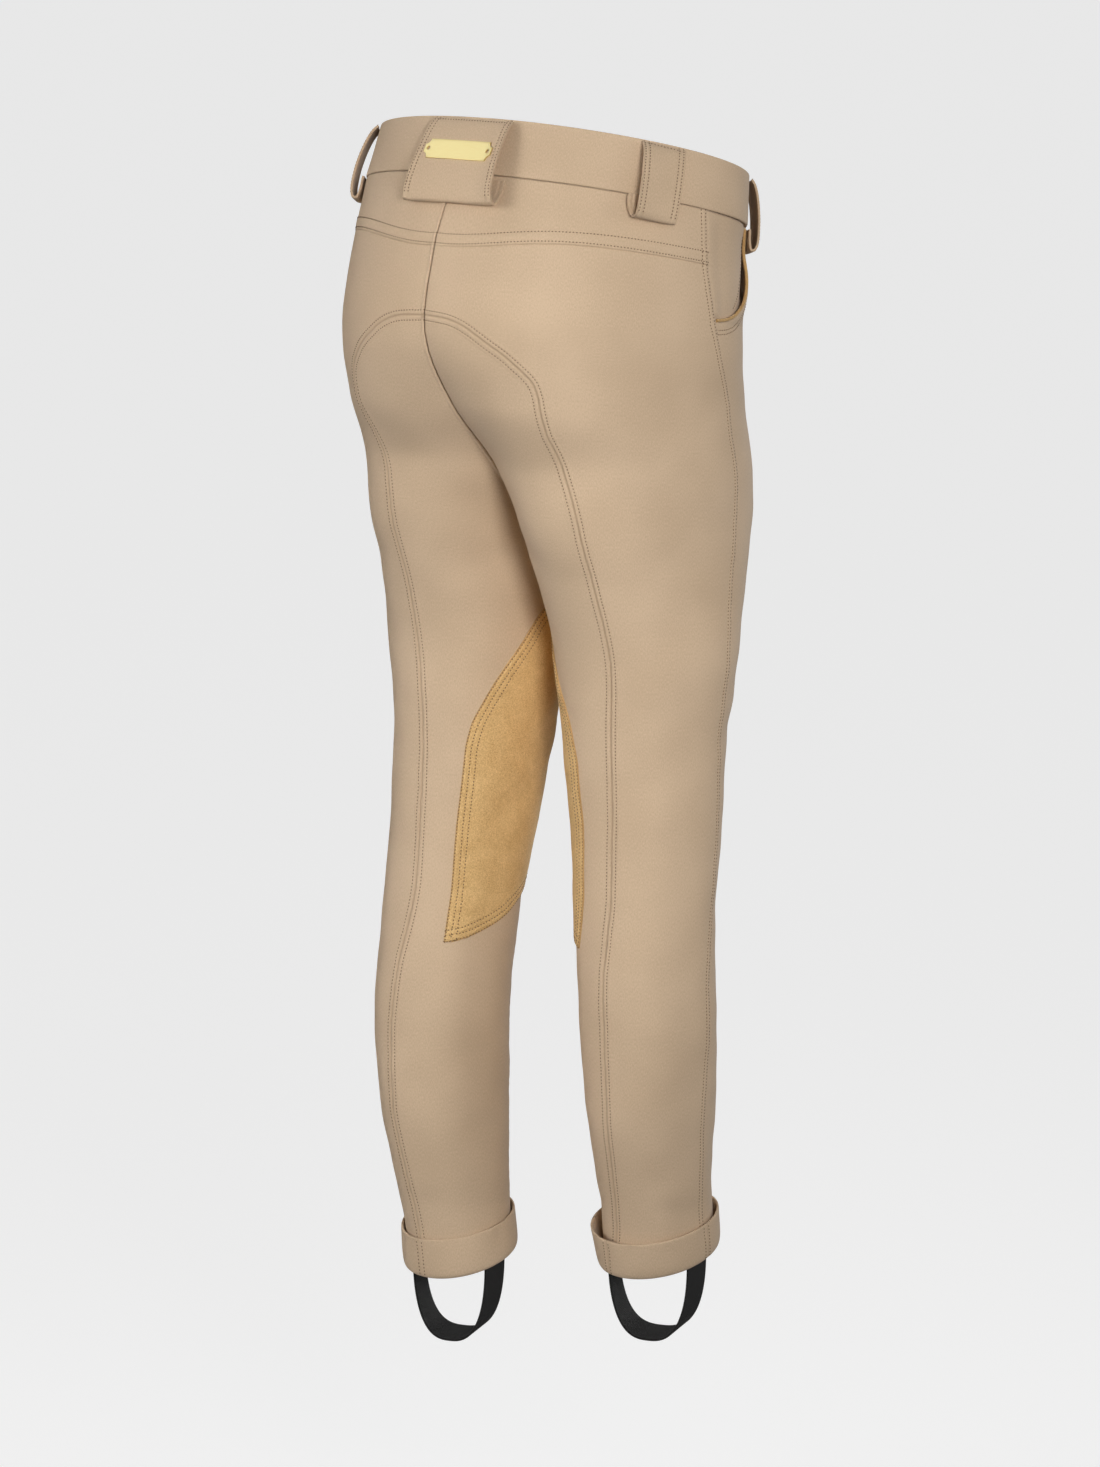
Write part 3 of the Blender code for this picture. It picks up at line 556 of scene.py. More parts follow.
def sewn_sheet(name, points, off, material, wall, node, rim=0.0, seams=None):
    """Make and wall one piece of cloth from its grid of points in millimetres."""
    cuts, (width, length, area) = flat_cut(points)
    if seams is None:
        seams = np.full(points.shape[:2], SEAM_REACH)
    bm = grid_mesh(points, cuts, seams, off)
    sheet_trees[name] = BVHTree.FromBMesh(bm)
    piece = add_piece(name, bm, material, node)
    add_wall(piece, wall, rim)
    area = min(area, width * length)
    print(name, "cut", round(width, 3), "x", round(length, 3), "m, area", round(area, 4))


# %% [markdown]
# The finishes. Materials that several pieces share are built from node groups: a twill weave,
# a soft mottling, a napped suede and so on. Each group puts out masks and heights only, and the
# shader stays in the material, so every cloth can use them with its own values.

# %% Helpers for node groups
def new_group(name, inputs, outputs):
    """A shader node group. Inputs have defaults, and a default of None takes a vector."""
    group = bpy.data.node_groups.new(name, "ShaderNodeTree")
    for socket, default in inputs.items():
        kind = "NodeSocketVector" if default is None else "NodeSocketFloat"
        made = group.interface.new_socket(name=socket, in_out="INPUT", socket_type=kind)
        if default is not None:
            made.default_value = default
    for socket in outputs:
        group.interface.new_socket(name=socket, in_out="OUTPUT", socket_type="NodeSocketFloat")
    start = group.nodes.new("NodeGroupInput")
    end = group.nodes.new("NodeGroupOutput")
    return group, start.outputs, end.inputs


def add_node(tree, kind, **settings):
    """A node with its properties and inputs set. An input may be a value or a socket."""
    node = tree.nodes.new(kind)
    links = settings.pop("sockets", {})
    for key, value in settings.items():
        setattr(node, key, value)
    for key, value in links.items():
        if isinstance(value, bpy.types.NodeSocket):
            tree.links.new(value, node.inputs[key])
        else:
            node.inputs[key].default_value = value
    return node


def maths(tree, operation, first, second=0.0):
    """One Math node, with sockets or numbers as its two values."""
    return add_node(
        tree, "ShaderNodeMath", operation=operation, sockets={0: first, 1: second}
    ).outputs[0]


def scaled(tree, value, factor, plus):
    """A value times a factor, plus another value."""
    return maths(tree, "ADD", maths(tree, "MULTIPLY", value, factor), plus)


def blend(tree, first, share, second):
    """A share of the first value, and the rest of the second one."""
    return scaled(tree, first, share, maths(tree, "MULTIPLY", second, 1 - share))


def ridges(tree, place, count, bends=1):
    """A wave across a place, so many times in each decimetre of the flat cut."""
    turns = maths(tree, "MULTIPLY", place, count)
    return maths(tree, "SINE", maths(tree, "MULTIPLY", turns, bends * 2 * math.pi))


def noise(tree, place, scale, detail, roughness, distortion=0.0):
    """Uneven patches with no direction."""
    return add_node(tree, "ShaderNodeTexNoise", sockets={
        "Vector": place, "Scale": scale, "Detail": detail, "Roughness": roughness,
        "Distortion": distortion}).outputs["Fac"]


def stretched(tree, place, scale):
    """A place with other scales along its axes."""
    return add_node(
        tree, "ShaderNodeMapping", sockets={"Vector": place, "Scale": scale}
    ).outputs[0]


# %% The twill weave
YARN_SCALE = (1.6, 0.7, 1.0)


def make_twill_group():
    """Diagonal wales of fine yarns, with uneven yarn thickness."""
    group, given, result = new_group(
        "twill_weave", {"Cut": None, "Wales": 150.0, "Slant": 1.0}, ["Height", "Fibre"]
    )
    parts = add_node(group, "ShaderNodeSeparateXYZ", sockets={0: given["Cut"]}).outputs
    slanted = maths(group, "MULTIPLY", parts["Y"], given["Slant"])
    wale = ridges(group, maths(group, "ADD", parts["X"], slanted), given["Wales"])
    yarn = ridges(group, parts["Y"], given["Wales"], 2)
    both = scaled(group, wale, 0.5, maths(group, "MULTIPLY", yarn, 0.25))
    yarns = stretched(group, given["Cut"], YARN_SCALE)
    fibre = noise(group, yarns, 85.0, detail=3.0, roughness=0.6)
    group.links.new(maths(group, "ADD", both, fibre), result["Height"])
    group.links.new(fibre, result["Fibre"])
    return group


twill_group = make_twill_group()
print("twill group nodes:", len(twill_group.nodes))


# %% Mottling, and the soil and painted shade along the seams
def make_mottle_group():
    """Large soft patches of a little more or less of the dyed colour."""
    group, given, result = new_group("mottling", {"Place": None, "Size": 18.0}, ["Shade"])
    patches = noise(group, given["Place"], given["Size"], detail=2.0, roughness=0.5)
    group.links.new(patches, result["Shade"])
    return group


def make_seam_group():
    """A mask for the darker colour painted along a seam, partly soil and partly painted shade in
    its groove. It is 1 in the seam and fades out beside it.
    """
    group, given, result = new_group("seam_shade", {"Distance": 12.0, "Reach": 1.6}, ["Mask"])
    share = maths(group, "DIVIDE", given["Distance"], given["Reach"])
    square = maths(group, "MULTIPLY", share, share)
    fall = maths(group, "POWER", math.e, maths(group, "MULTIPLY", square, -1.0))
    group.links.new(fall, result["Mask"])
    return group


mottle_group = make_mottle_group()
seam_group = make_seam_group()
print("groups:", len(bpy.data.node_groups))

# %% Suede nap, elastic ribs and brass wear
RUB_SCALE = (0.25, 1.0, 1.0)


def make_nap_group():
    """Brushed nap: fine fuzz, with broader strokes where it lies another way."""
    group, given, result = new_group(
        "suede_nap", {"Place": None, "Fuzz": 1500.0, "Strokes": 70.0}, ["Fuzz", "Stroke"]
    )
    fuzz = noise(group, given["Place"], given["Fuzz"], detail=3.0, roughness=0.7)
    stroke = noise(group, given["Place"], given["Strokes"], detail=5.0, roughness=0.65,
                   distortion=0.6)
    group.links.new(fuzz, result["Fuzz"])
    group.links.new(stroke, result["Stroke"])
    return group


def make_rib_group():
    """Ribs across a woven elastic, and the fine cords along it."""
    group, given, result = new_group(
        "elastic_ribs", {"Cut": None, "Ribs": 90.0, "Cords": 110.0}, ["Height"]
    )
    parts = add_node(group, "ShaderNodeSeparateXYZ", sockets={0: given["Cut"]}).outputs
    rib = ridges(group, parts["Y"], given["Ribs"])
    cord = ridges(group, parts["X"], given["Cords"])
    group.links.new(maths(group, "ADD", rib, cord), result["Height"])
    return group


def make_wear_group():
    """Hairline rubbing on polished metal."""
    group, given, result = new_group("brass_wear", {"Place": None, "Grain": 900.0}, ["Rub"])
    drawn = stretched(group, given["Place"], RUB_SCALE)
    rub = noise(group, drawn, given["Grain"], detail=4.0, roughness=0.6)
    group.links.new(rub, result["Rub"])
    return group


nap_group = make_nap_group()
rib_group = make_rib_group()
wear_group = make_wear_group()
print("groups:", len(bpy.data.node_groups))


# %% Helpers for materials
def start_material(name, values):
    """A material's tree and shader, with the shader's values set by name."""
    material = bpy.data.materials.new(name)
    material.use_nodes = True
    shader = material.node_tree.nodes["Principled BSDF"]
    for key, value in values.items():
        shader.inputs[key].default_value = value
    return material.node_tree, shader


def object_place(tree):
    return add_node(tree, "ShaderNodeTexCoord").outputs["Object"]


def cut_place(tree):
    return add_node(tree, "ShaderNodeUVMap", uv_map="cut").outputs[0]


def place_group(tree, group, **sockets):
    return add_node(tree, "ShaderNodeGroup", node_tree=group, sockets=sockets).outputs


def blend_colours(tree, share, low, high):
    """A colour between two, by a mask."""
    node = add_node(tree, "ShaderNodeMix", data_type="RGBA")
    tree.links.new(share, node.inputs["Factor"])
    for key, value in (("A", low), ("B", high)):
        socket = next(item for item in node.inputs if item.name == key and item.type == "RGBA")
        if isinstance(value, bpy.types.NodeSocket):
            tree.links.new(value, socket)
        else:
            socket.default_value = (*value, 1.0)
    return next(item for item in node.outputs if item.type == "RGBA")


def add_bump(tree, shader, height, distance, strength):
    bump = add_node(tree, "ShaderNodeBump", sockets={
        "Height": height, "Distance": distance * MM, "Strength": strength})
    tree.links.new(bump.outputs[0], shader.inputs["Normal"])


# dark and light are the material's own tones, mixed where a value lies between least and most.
# deep is a darker colour painted along the seams, partly soil and partly painted shade in their
# grooves; reach sets how far it spreads and share how much of it is laid on.
DyeAndSeamShade = namedtuple("DyeAndSeamShade", "dark light least most deep reach share")


def add_dye_and_seam_shade(tree, shader, value, dye_and_shade):
    """Two tones of a colour, mixed by a value, and a deeper one painted along the seams: partly
    soil, and partly painted shade in their grooves.
    """
    seam = add_node(tree, "ShaderNodeAttribute", attribute_name="seam").outputs["Fac"]
    shade = place_group(tree, seam_group, Distance=seam, Reach=dye_and_shade.reach)
    steep = add_node(tree, "ShaderNodeMapRange", sockets={
        "Value": value, "From Min": dye_and_shade.least, "From Max": dye_and_shade.most})
    colour = blend_colours(tree, steep.outputs[0], dye_and_shade.dark, dye_and_shade.light)
    mask = maths(tree, "MULTIPLY", shade["Mask"], dye_and_shade.share)
    tree.links.new(blend_colours(tree, mask, colour, dye_and_shade.deep), shader.inputs["Base Color"])


# %% The cotton cloth
COTTON = {"Sheen Weight": 0.12, "Sheen Roughness": 0.5, "Specular IOR Level": 0.25}
# The deep colour is painted along the seams: partly soil, and partly painted shade in their
# grooves.
COTTON_DYE_AND_SEAM_SHADE = DyeAndSeamShade(
    dark=(0.545, 0.398, 0.262), light=(0.655, 0.487, 0.330), least=0.39, most=0.61,
    deep=(0.380, 0.262, 0.163), reach=0.75, share=0.55,
)


def make_cloth_material():
    tree, shader = start_material("cotton_twill", COTTON)
    twill = place_group(tree, twill_group, Cut=cut_place(tree), Wales=130.0, Slant=1.0)
    mottle = place_group(tree, mottle_group, Place=object_place(tree), Size=16.0)
    add_dye_and_seam_shade(tree, shader, blend(tree, twill["Fibre"], 0.65, mottle["Shade"]), COTTON_DYE_AND_SEAM_SHADE)
    rough = scaled(tree, twill["Fibre"], factor=0.14, plus=0.80)
    tree.links.new(rough, shader.inputs["Roughness"])
    add_bump(tree, shader, twill["Height"], distance=0.06, strength=0.7)


make_cloth_material()
print("cotton done")

# %% The suede
SUEDE = {"Roughness": 0.95, "Sheen Weight": 0.35, "Sheen Roughness": 0.45,
         "Sheen Tint": (1.0, 0.85, 0.6, 1.0), "Specular IOR Level": 0.15}
# The deep colour is painted along the patch's edges: partly soil, and partly painted shade in
# their grooves.
SUEDE_DYE_AND_SEAM_SHADE = DyeAndSeamShade(
    dark=(0.520, 0.310, 0.120), light=(0.820, 0.560, 0.260), least=0.36, most=0.64,
    deep=(0.330, 0.180, 0.065), reach=0.7, share=0.5,
)


def make_suede_material():
    tree, shader = start_material("gold_suede", SUEDE)
    nap = place_group(tree, nap_group, Place=object_place(tree), Fuzz=1100.0, Strokes=60.0)
    mixed = blend(tree, nap["Fuzz"], 0.72, nap["Stroke"])
    add_dye_and_seam_shade(tree, shader, mixed, SUEDE_DYE_AND_SEAM_SHADE)
    add_bump(tree, shader, mixed, distance=0.5, strength=0.8)


make_suede_material()
print("suede done")

# %% Thread, elastic and brass
THREAD = {"Roughness": 0.7, "Sheen Weight": 0.1}
# The thread itself is only a little darker than the cloth and the suede. These colours are much
# darker, with the painted shadow of the needle holes at each stitch laid into them.
SHADED_THREAD_LIGHT = (0.250, 0.155, 0.085)
SHADED_THREAD_DARK = (0.150, 0.088, 0.045)
SHADED_GOLD_THREAD_LIGHT = (0.270, 0.150, 0.058)
SHADED_GOLD_THREAD_DARK = (0.150, 0.078, 0.028)
ELASTIC = {"Roughness": 0.6, "Specular IOR Level": 0.3, "Sheen Weight": 0.05}
ELASTIC_LIGHT = (0.0110, 0.0105, 0.0100)
ELASTIC_DARK = (0.0045, 0.0043, 0.0042)
BRASS_LIGHT = (0.985, 0.860, 0.440)
BRASS_DARK = (0.950, 0.790, 0.360)


def add_colour(tree, shader, mask, dark, light):
    tree.links.new(blend_colours(tree, mask, dark, light), shader.inputs["Base Color"])


def make_thread_material(name, dark, light):
    tree, shader = start_material(name, THREAD)
    mottle = place_group(tree, mottle_group, Place=object_place(tree), Size=500.0)
    add_colour(tree, shader, mottle["Shade"], dark, light)
    add_bump(tree, shader, mottle["Shade"], distance=0.1, strength=0.6)


def make_elastic_material():
    tree, shader = start_material("black_elastic", ELASTIC)
    ribs = place_group(tree, rib_group, Cut=cut_place(tree), Ribs=85.0, Cords=110.0)
    mask = scaled(tree, ribs["Height"], factor=0.25, plus=0.5)
    add_colour(tree, shader, mask, ELASTIC_DARK, ELASTIC_LIGHT)
    add_bump(tree, shader, ribs["Height"], distance=0.12, strength=0.8)


def make_brass_material():
    tree, shader = start_material("polished_brass", {"Metallic": 1.0})
    wear = place_group(tree, wear_group, Place=object_place(tree), Grain=700.0)
    add_colour(tree, shader, wear["Rub"], BRASS_DARK, BRASS_LIGHT)
    rough = scaled(tree, wear["Rub"], factor=0.10, plus=0.26)
    tree.links.new(rough, shader.inputs["Roughness"])
    add_bump(tree, shader, wear["Rub"], distance=0.002, strength=0.2)


make_thread_material("tan_thread", SHADED_THREAD_DARK, SHADED_THREAD_LIGHT)
make_thread_material("gold_thread", SHADED_GOLD_THREAD_DARK, SHADED_GOLD_THREAD_LIGHT)
make_elastic_material()
make_brass_material()
print("materials:", len(bpy.data.materials))

# %% [markdown]
# Now the panels. Each is cut between two seams, given as a turn for each height. The seams are
# curves of their own, so two neighbours share one line and meet all along it.

# %% The seam lines
def mid_angle(name, down):
    """The turn at which one half meets the other, at the back or at the front."""
    mid = np.maximum(level[name](down), 0.0)
    meets = np.degrees(np.arcsin(np.minimum(mid / (level["side"](down) - mid), 1.0)))
    return np.where(down >= CROTCH, 90.0, meets)


def seam(curve, side, down, nudge=0.0):
    """The turn of a seam on one leg, moved sideways by nudge millimetres."""
    return curve(down) - side * twist_curve(down) + degrees_for(nudge, down)


def centre_back(side, down):
    return -mid_angle("back_mid", down) + degrees_for(HALF_GAP, down)


def centre_front(side, down):
    return 180 + mid_angle("front_mid", down) - degrees_for(HALF_GAP, down)


def inner_seam(side, down, nudge):
    twist = -side * twist_curve(down) * ease((down - CROTCH) / INNER_TWIST_FADE)
    return inner_curve(down) + twist + degrees_for(nudge, down)


def back_panel_start(side, down):
    edge = np.maximum(seam(arch_curve, side, down - HALF_GAP, HALF_GAP), centre_back(side, down))
    return np.where(down <= ARCH_TOP, centre_back(side, down), edge)


def inner_panel_start(side, down):
    return np.where(
        down < CROTCH, centre_back(side, down), inner_seam(side, down, HALF_GAP) - 360
    )


def inner_panel_end(side, down):
    edge = seam(arch_curve, side, down - 2 * HALF_GAP, -HALF_GAP)
    return np.maximum(edge, inner_panel_start(side, down))


def side_seam_back(side, down):
    return seam(side_curve, side, down, -HALF_GAP)


def front_panel_start(side, down):
    edge = seam(side_curve, side, down, HALF_GAP)
    return np.where(down < POCKET_DEPTH, np.maximum(edge, mouth_curve(down)), edge)


def front_panel_end(side, down):
    return np.where(
        down < CROTCH, centre_front(side, down), inner_seam(side, down, -HALF_GAP)
    )


def dipped(down, around):
    """Lower the yoke seam towards the centre back, and fade that out above and below."""
    above = (down - BAND_HEIGHT) / (YOKE_DEPTH - BAND_HEIGHT)
    below = (ARCH_TOP - down) / (ARCH_TOP - YOKE_DEPTH)
    share = np.where(down <= YOKE_DEPTH, above, below)
    return down + YOKE_DIP * ease(share) * bell(around, YOKE_DIP_WIDTH)


print("side seam at the hip:", round(float(side_curve(131)), 1), "degrees")

# %% [markdown]
# Stitches lie in rows beside the seams. A row is found by walking from the seam at a right
# angle, over the curved cloth, and each stitch is then laid on the finished panel. One stitch
# is an icosphere pulled long. Thousands of them are joined into a few meshes.

# %% Rows of stitches
STITCH_PITCH = 2.3
STITCH_LONG = 1.35
STITCH_THICK = 0.95
STITCH_FLAT = 0.6
STITCH_RISE = 0.12
STITCH_SEARCH = 6.0
stitches = {}


def beside(side, around, down, mm, axis):
    """Walk mm millimetres off a line on the cloth, towards growing around or down."""
    run = np.gradient(surface(side, around, down), axis=0)
    per_degree, per_mm = slopes(side, around, down)
    across = unit(np.cross(np.cross(per_degree, per_mm), run)) * mm
    aa = (per_degree**2).sum(axis=1)
    bb = (per_mm**2).sum(axis=1)
    ab = (per_degree * per_mm).sum(axis=1)
    ra = (across * per_degree).sum(axis=1)
    rb = (across * per_mm).sum(axis=1)
    share = aa * bb - ab**2
    turn = (ra * bb - rb * ab) / share
    fall = (rb * aa - ra * ab) / share
    moved = turn.sum() if axis == "around" else fall.sum()
    sense = 1.0 if moved * mm > 0 else -1.0
    return around + sense * turn, down + sense * fall


def sew(group, sheet_name, line, pitch=STITCH_PITCH):
    """Lay a row of stitches on a sheet along a line of points in millimetres."""
    tree = sheet_trees[sheet_name]
    stops = evenly(line, pitch)
    runs = np.gradient(stops, axis=0)
    placed = stitches.setdefault(group, [])
    form = (STITCH_LONG * pitch / STITCH_PITCH, STITCH_THICK, STITCH_THICK * STITCH_FLAT)
    size = Matrix.Diagonal(Vector(form) * MM).to_4x4()
    for stop, run in zip(stops, runs):
        spot, off, _, away = tree.find_nearest(Vector(stop * MM))
        if spot is None or away > STITCH_SEARCH * MM:
            continue
        along = Vector(run)
        along = (along - off * along.dot(off)).normalized()
        turned = Matrix((along, off.cross(along), off)).transposed().to_4x4()
        placed.append(Matrix.Translation(spot + off * (STITCH_RISE * MM)) @ turned @ size)


def sew_beside(group, sheet_name, side, around, down, mm, axis):
    """Sew along a line that runs beside a seam."""
    around, down = beside(side, around, down, mm, axis)
    sew(group, sheet_name, cloth(side, around, down))


# %% A panel of the leg
Border = namedtuple("Border", "where edge first last", defaults=(0.0, HEM))
COLUMNS = 62
MIDDLE_SEAM = {LEFT: RIDGE_SEAM, RIGHT: PLAIN_SEAM}


def border_line(points, downs, border):
    """The outer line of a grid at one of its four sides, between the border's heights."""
    if border.where == "top":
        return points[0]
    if border.where == "bottom":
        return points[-1]
    rows = (downs >= border.first) & (downs <= border.last)
    return points[rows, 0 if border.where == "start" else -1]


def raised(height):
    """The relief of a panel that lies evenly off the body."""
    return lambda side, around, down: np.full(around.shape, height)


def leg_panel(name, side, downs, start, end, borders, columns=COLUMNS, proud=None,
              dip=False, material="cotton_twill", wall=CLOTH_WALL, rim=0.0):
    """Cut, form and sew one panel. Borders say what is at each side, between two heights."""
    down = downs[:, None]
    first = start(side, downs)
    if dip:
        first = start(side, dipped(downs, first))
    first = first[:, None]
    last = end(side, downs)[:, None]
    around = first + (last - first) * crowd(columns)[None, :]
    down = dipped(down, around) if dip else np.broadcast_to(down, around.shape)
    base = surface(side, around, down)
    relief = proud(side, around, down) if proud else np.zeros(around.shape)
    seams = np.full(around.shape, SEAM_REACH)
    for border in borders:
        away, along = distance_to(base, border_line(base, downs, border))
        relief = relief + edge_relief(border.edge, away, along)
        # This distance sets where the darker colour is painted along the seam: partly soil, and
        # partly painted shade.
        seams = np.minimum(seams, away + border.edge.pale)
    points = cloth(side, around, down, relief)
    for column in (0, -1):
        on_middle = np.abs(base[:, column, 0]) < MIDDLE_REACH
        points[:, column, 0] = np.where(on_middle, 0.0, points[:, column, 0])
    off = outward(side, around, down)
    sewn_sheet(name, points, off, material, wall, name,
               rim=rim, seams=seams)
    for border in borders:
        turn = border_line(around, downs, border)
        fall = border_line(down, downs, border)
        axis = "around" if border.where in ("start", "end") else "down"
        sense = 1 if border.where in ("start", "top") else -1
        for row in border.edge.rows:
            sew_beside("seam_stitches_" + name, name, side, turn, fall, sense * row, axis)


# %% [markdown]
# The back of each half is a shallow yoke above and a long outer panel below. Rows of the grid
# lie close together at the seams, where the relief is fine, and further apart down the leg.

# %% Yokes and back panels
TOP = BAND_HEIGHT + HALF_GAP
YOKE_ROWS = stretches((TOP, 38, 0.7), (38, 58, 1.8), (58, YOKE_DEPTH - HALF_GAP, 0.8))
BACK_ROWS = stretches(
    (YOKE_DEPTH + HALF_GAP, 75, 0.7), (75, 116, 2.4), (116, ARCH_TOP, 1.0),
    (ARCH_TOP, 124, 0.35), (124, 134, 0.8), (134, 175, 1.6), (175, CLOTH_END, 3.0),
)
for side_name, side in SIDES.items():
    leg_panel(
        "yoke_" + side_name, side, YOKE_ROWS, centre_back, side_seam_back,
        [Border("start", MIDDLE_SEAM[side]), Border("top", WAIST_DITCH),
         Border("bottom", YOKE_LAP), Border("end", SIDE_LAP)],
        columns=90, dip=True,
    )
    leg_panel(
        "back_panel_" + side_name, side, BACK_ROWS, back_panel_start, side_seam_back,
        [Border("start", MIDDLE_SEAM[side], last=ARCH_TOP),
         Border("start", ARCH_OUTER, first=ARCH_TOP),
         Border("top", FLAT_SEAM), Border("end", SIDE_LAP)],
        columns=72, dip=True,
    )

# %% Seat and inner leg panels
INNER_ROWS = stretches(
    (ARCH_TOP + 2 * HALF_GAP, 124, 0.35), (124, 134, 0.8), (134, 175, 1.6),
    (175, CLOTH_END, 3.0),
)
for side_name, side in SIDES.items():
    leg_panel(
        "inner_panel_" + side_name, side, INNER_ROWS, inner_panel_start, inner_panel_end,
        [Border("start", MIDDLE_SEAM[side], last=CROTCH),
         Border("start", PLAIN_SEAM, first=CROTCH), Border("end", ARCH_INNER)],
    )

# %% [markdown]
# Each front panel goes from the side seam round to the middle and, lower down, to the inner
# seam. A scoop is cut out of its top corner for the pocket, and the cloth stands a little off
# the body there, as a pocket's mouth gapes.

# %% Front panels
POCKET_GAPE = 2.9
POCKET_GAPE_TOP = 52.0
POCKET_GAPE_WIDTH = 14.0
POCKET_GAPE_POWER = 1.5
FRONT_ROWS = stretches(
    (TOP, 38, 0.7), (38, 80, 2.2), (80, 104, 0.9), (104, POCKET_DEPTH, 0.25),
    (POCKET_DEPTH, 112, 0.9), (112, CLOTH_END, 3.0),
)


def mouth_gape(side, around, down):
    share = (down - POCKET_GAPE_TOP) / (POCKET_DEPTH - POCKET_GAPE_TOP)
    wave = np.sin(np.pi * np.clip(share, 0.0, 1.0)) ** POCKET_GAPE_POWER
    return POCKET_GAPE * wave * bell(around - mouth_curve(down), POCKET_GAPE_WIDTH)


for side_name, side in SIDES.items():
    leg_panel(
        "front_panel_" + side_name, side, FRONT_ROWS, front_panel_start, front_panel_end,
        [Border("start", POCKET_EDGE, last=POCKET_DEPTH),
         Border("start", FLAT_SEAM, first=POCKET_DEPTH),
         Border("top", WAIST_DITCH), Border("end", PLAIN_SEAM)],
        columns=72, proud=mouth_gape,
    )

# %% [markdown]
# The pocket is a scoop cut out of the front panel. Behind it lies the bearer, a piece of the
# same cloth, and gold piping edges the mouth. The piping is a bevelled curve made into a mesh.

# %% Pockets
BEARER_CLEAR = 0.1
BEARER_SUNK = 2.4
BEARER_RISE = 0.85
BEARER_RISE_HEIGHT = 14.0
BEARER_SINK_TURN = 8.0
BEARER_SINK_TOP = 100.5
BEARER_SINK_HEIGHT = 4.0
BEARER_REACH = 13.0
BEARER_END = 117.0
BEARER_ROW_TURN = 5.0
BEARER_ROW_HEIGHTS = np.linspace(BAND_HEIGHT + 8, POCKET_DEPTH - 12, 40)
PIPING_RADIUS = 1.1
PIPING_RESOLUTION = 4
PIPING_GAP = 0.2
PIPING_STEP = 1.2
PIPING_ROWS = stretches(
    (BAND_HEIGHT + 1.6, 95, 2.5), (95, 104, 0.8), (104, POCKET_DEPTH - 0.1, 0.2)
)


def bearer_start(side, down):
    return seam(side_curve, side, down, HALF_GAP)


def bearer_end(side, down):
    return mouth_curve(np.minimum(down, POCKET_DEPTH)) + BEARER_REACH


def bearer_sunk(side, around, down):
    past_seam = (around - seam(side_curve, side, down, HALF_GAP)) / BEARER_SINK_TURN
    past_mouth = (down - BEARER_SINK_TOP) / BEARER_SINK_HEIGHT
    shallow = BEARER_RISE * (1 - ease((down - TOP) / BEARER_RISE_HEIGHT))
    return -BEARER_CLEAR - (BEARER_SUNK - shallow) * np.maximum(ease(past_seam), ease(past_mouth))


def make_piping(side_name, side):
    edge = mouth_curve(PIPING_ROWS)
    gape = mouth_gape(side, edge, PIPING_ROWS)
    here = cloth(side, edge, PIPING_ROWS, gape - CLOTH_WALL / 2)
    off = outward(side, edge, PIPING_ROWS)
    inwards = unit(np.cross(np.gradient(here, axis=0), off) * side)
    centres = evenly(here - inwards * (PIPING_RADIUS + PIPING_GAP), PIPING_STEP)
    data = bpy.data.curves.new("piping", "CURVE")
    data.dimensions = "3D"
    data.bevel_depth = PIPING_RADIUS * MM
    data.bevel_resolution = PIPING_RESOLUTION
    data.use_fill_caps = True
    spline = data.splines.new("POLY")
    spline.points.add(len(centres) - 1)
    for point, centre in zip(spline.points, centres):
        point.co = (*(centre * MM), 1)
    guide = bpy.data.objects.new("piping", data)
    bm = bmesh.new()
    bm.from_mesh(guide.to_mesh())
    bpy.data.objects.remove(guide, do_unlink=True)
    bpy.data.curves.remove(data)
    bmesh.ops.recalc_face_normals(bm, faces=bm.faces)
    add_piece("pocket_piping_" + side_name, bm, "gold_suede", "pocket_piping_" + side_name)


for side_name, side in SIDES.items():
    name = "pocket_bearer_" + side_name
    leg_panel(
        name, side, stretches((TOP, BEARER_END, 1.6)), bearer_start, bearer_end,
        [Border("start", FLAT_SEAM), Border("top", WAIST_DITCH)],
        columns=36, proud=bearer_sunk,
    )
    turn = mouth_curve(BEARER_ROW_HEIGHTS) - BEARER_ROW_TURN
    line = cloth(side, turn, BEARER_ROW_HEIGHTS, -BEARER_SUNK)
    sew("seam_stitches_" + name, name, line)
    make_piping(side_name, side)

# %% [markdown]
# The knee patch is suede, laid on the inner panel. Three rows of stitches hold its edge down,
# except where it ends at the inner seam. It uses the panel's own formula, moved out, so it
# follows every fold under it.

# %% Knee patches
PATCH_OUT = 1.55
PATCH_INSET = 1.2
PATCH_CORNER = 508.0
PATCH_ROWS = stretches(
    (PATCH_TOP, 316, 0.9), (316, 400, 2.2), (400, 503, 3.0), (503, PATCH_TIP, 0.8)
)


def patch_front(side, down):
    first = inner_panel_start(side, down)
    foot = seam(patch_foot_curve, side, down)
    return np.maximum(first + degrees_for(PATCH_INSET, down), foot)


def patch_back(side, down):
    return np.maximum(seam(patch_back_curve, side, down), patch_front(side, down))


for side_name, side in SIDES.items():
    leg_panel(
        "knee_patch_" + side_name, side, PATCH_ROWS, patch_front, patch_back,
        [Border("end", PATCH_EDGE), Border("start", PATCH_EDGE, first=PATCH_CORNER),
         Border("start", CUT_EDGE, last=PATCH_CORNER)],
        columns=50, material="gold_suede",
        proud=raised(PATCH_OUT), wall=SUEDE_WALL, rim=0.35,
    )

# %% [markdown]
# The waistband is one strip that goes all round and laps over itself at the front. Its top is
# a fold of the cloth, so the rim of its wall is rounded.

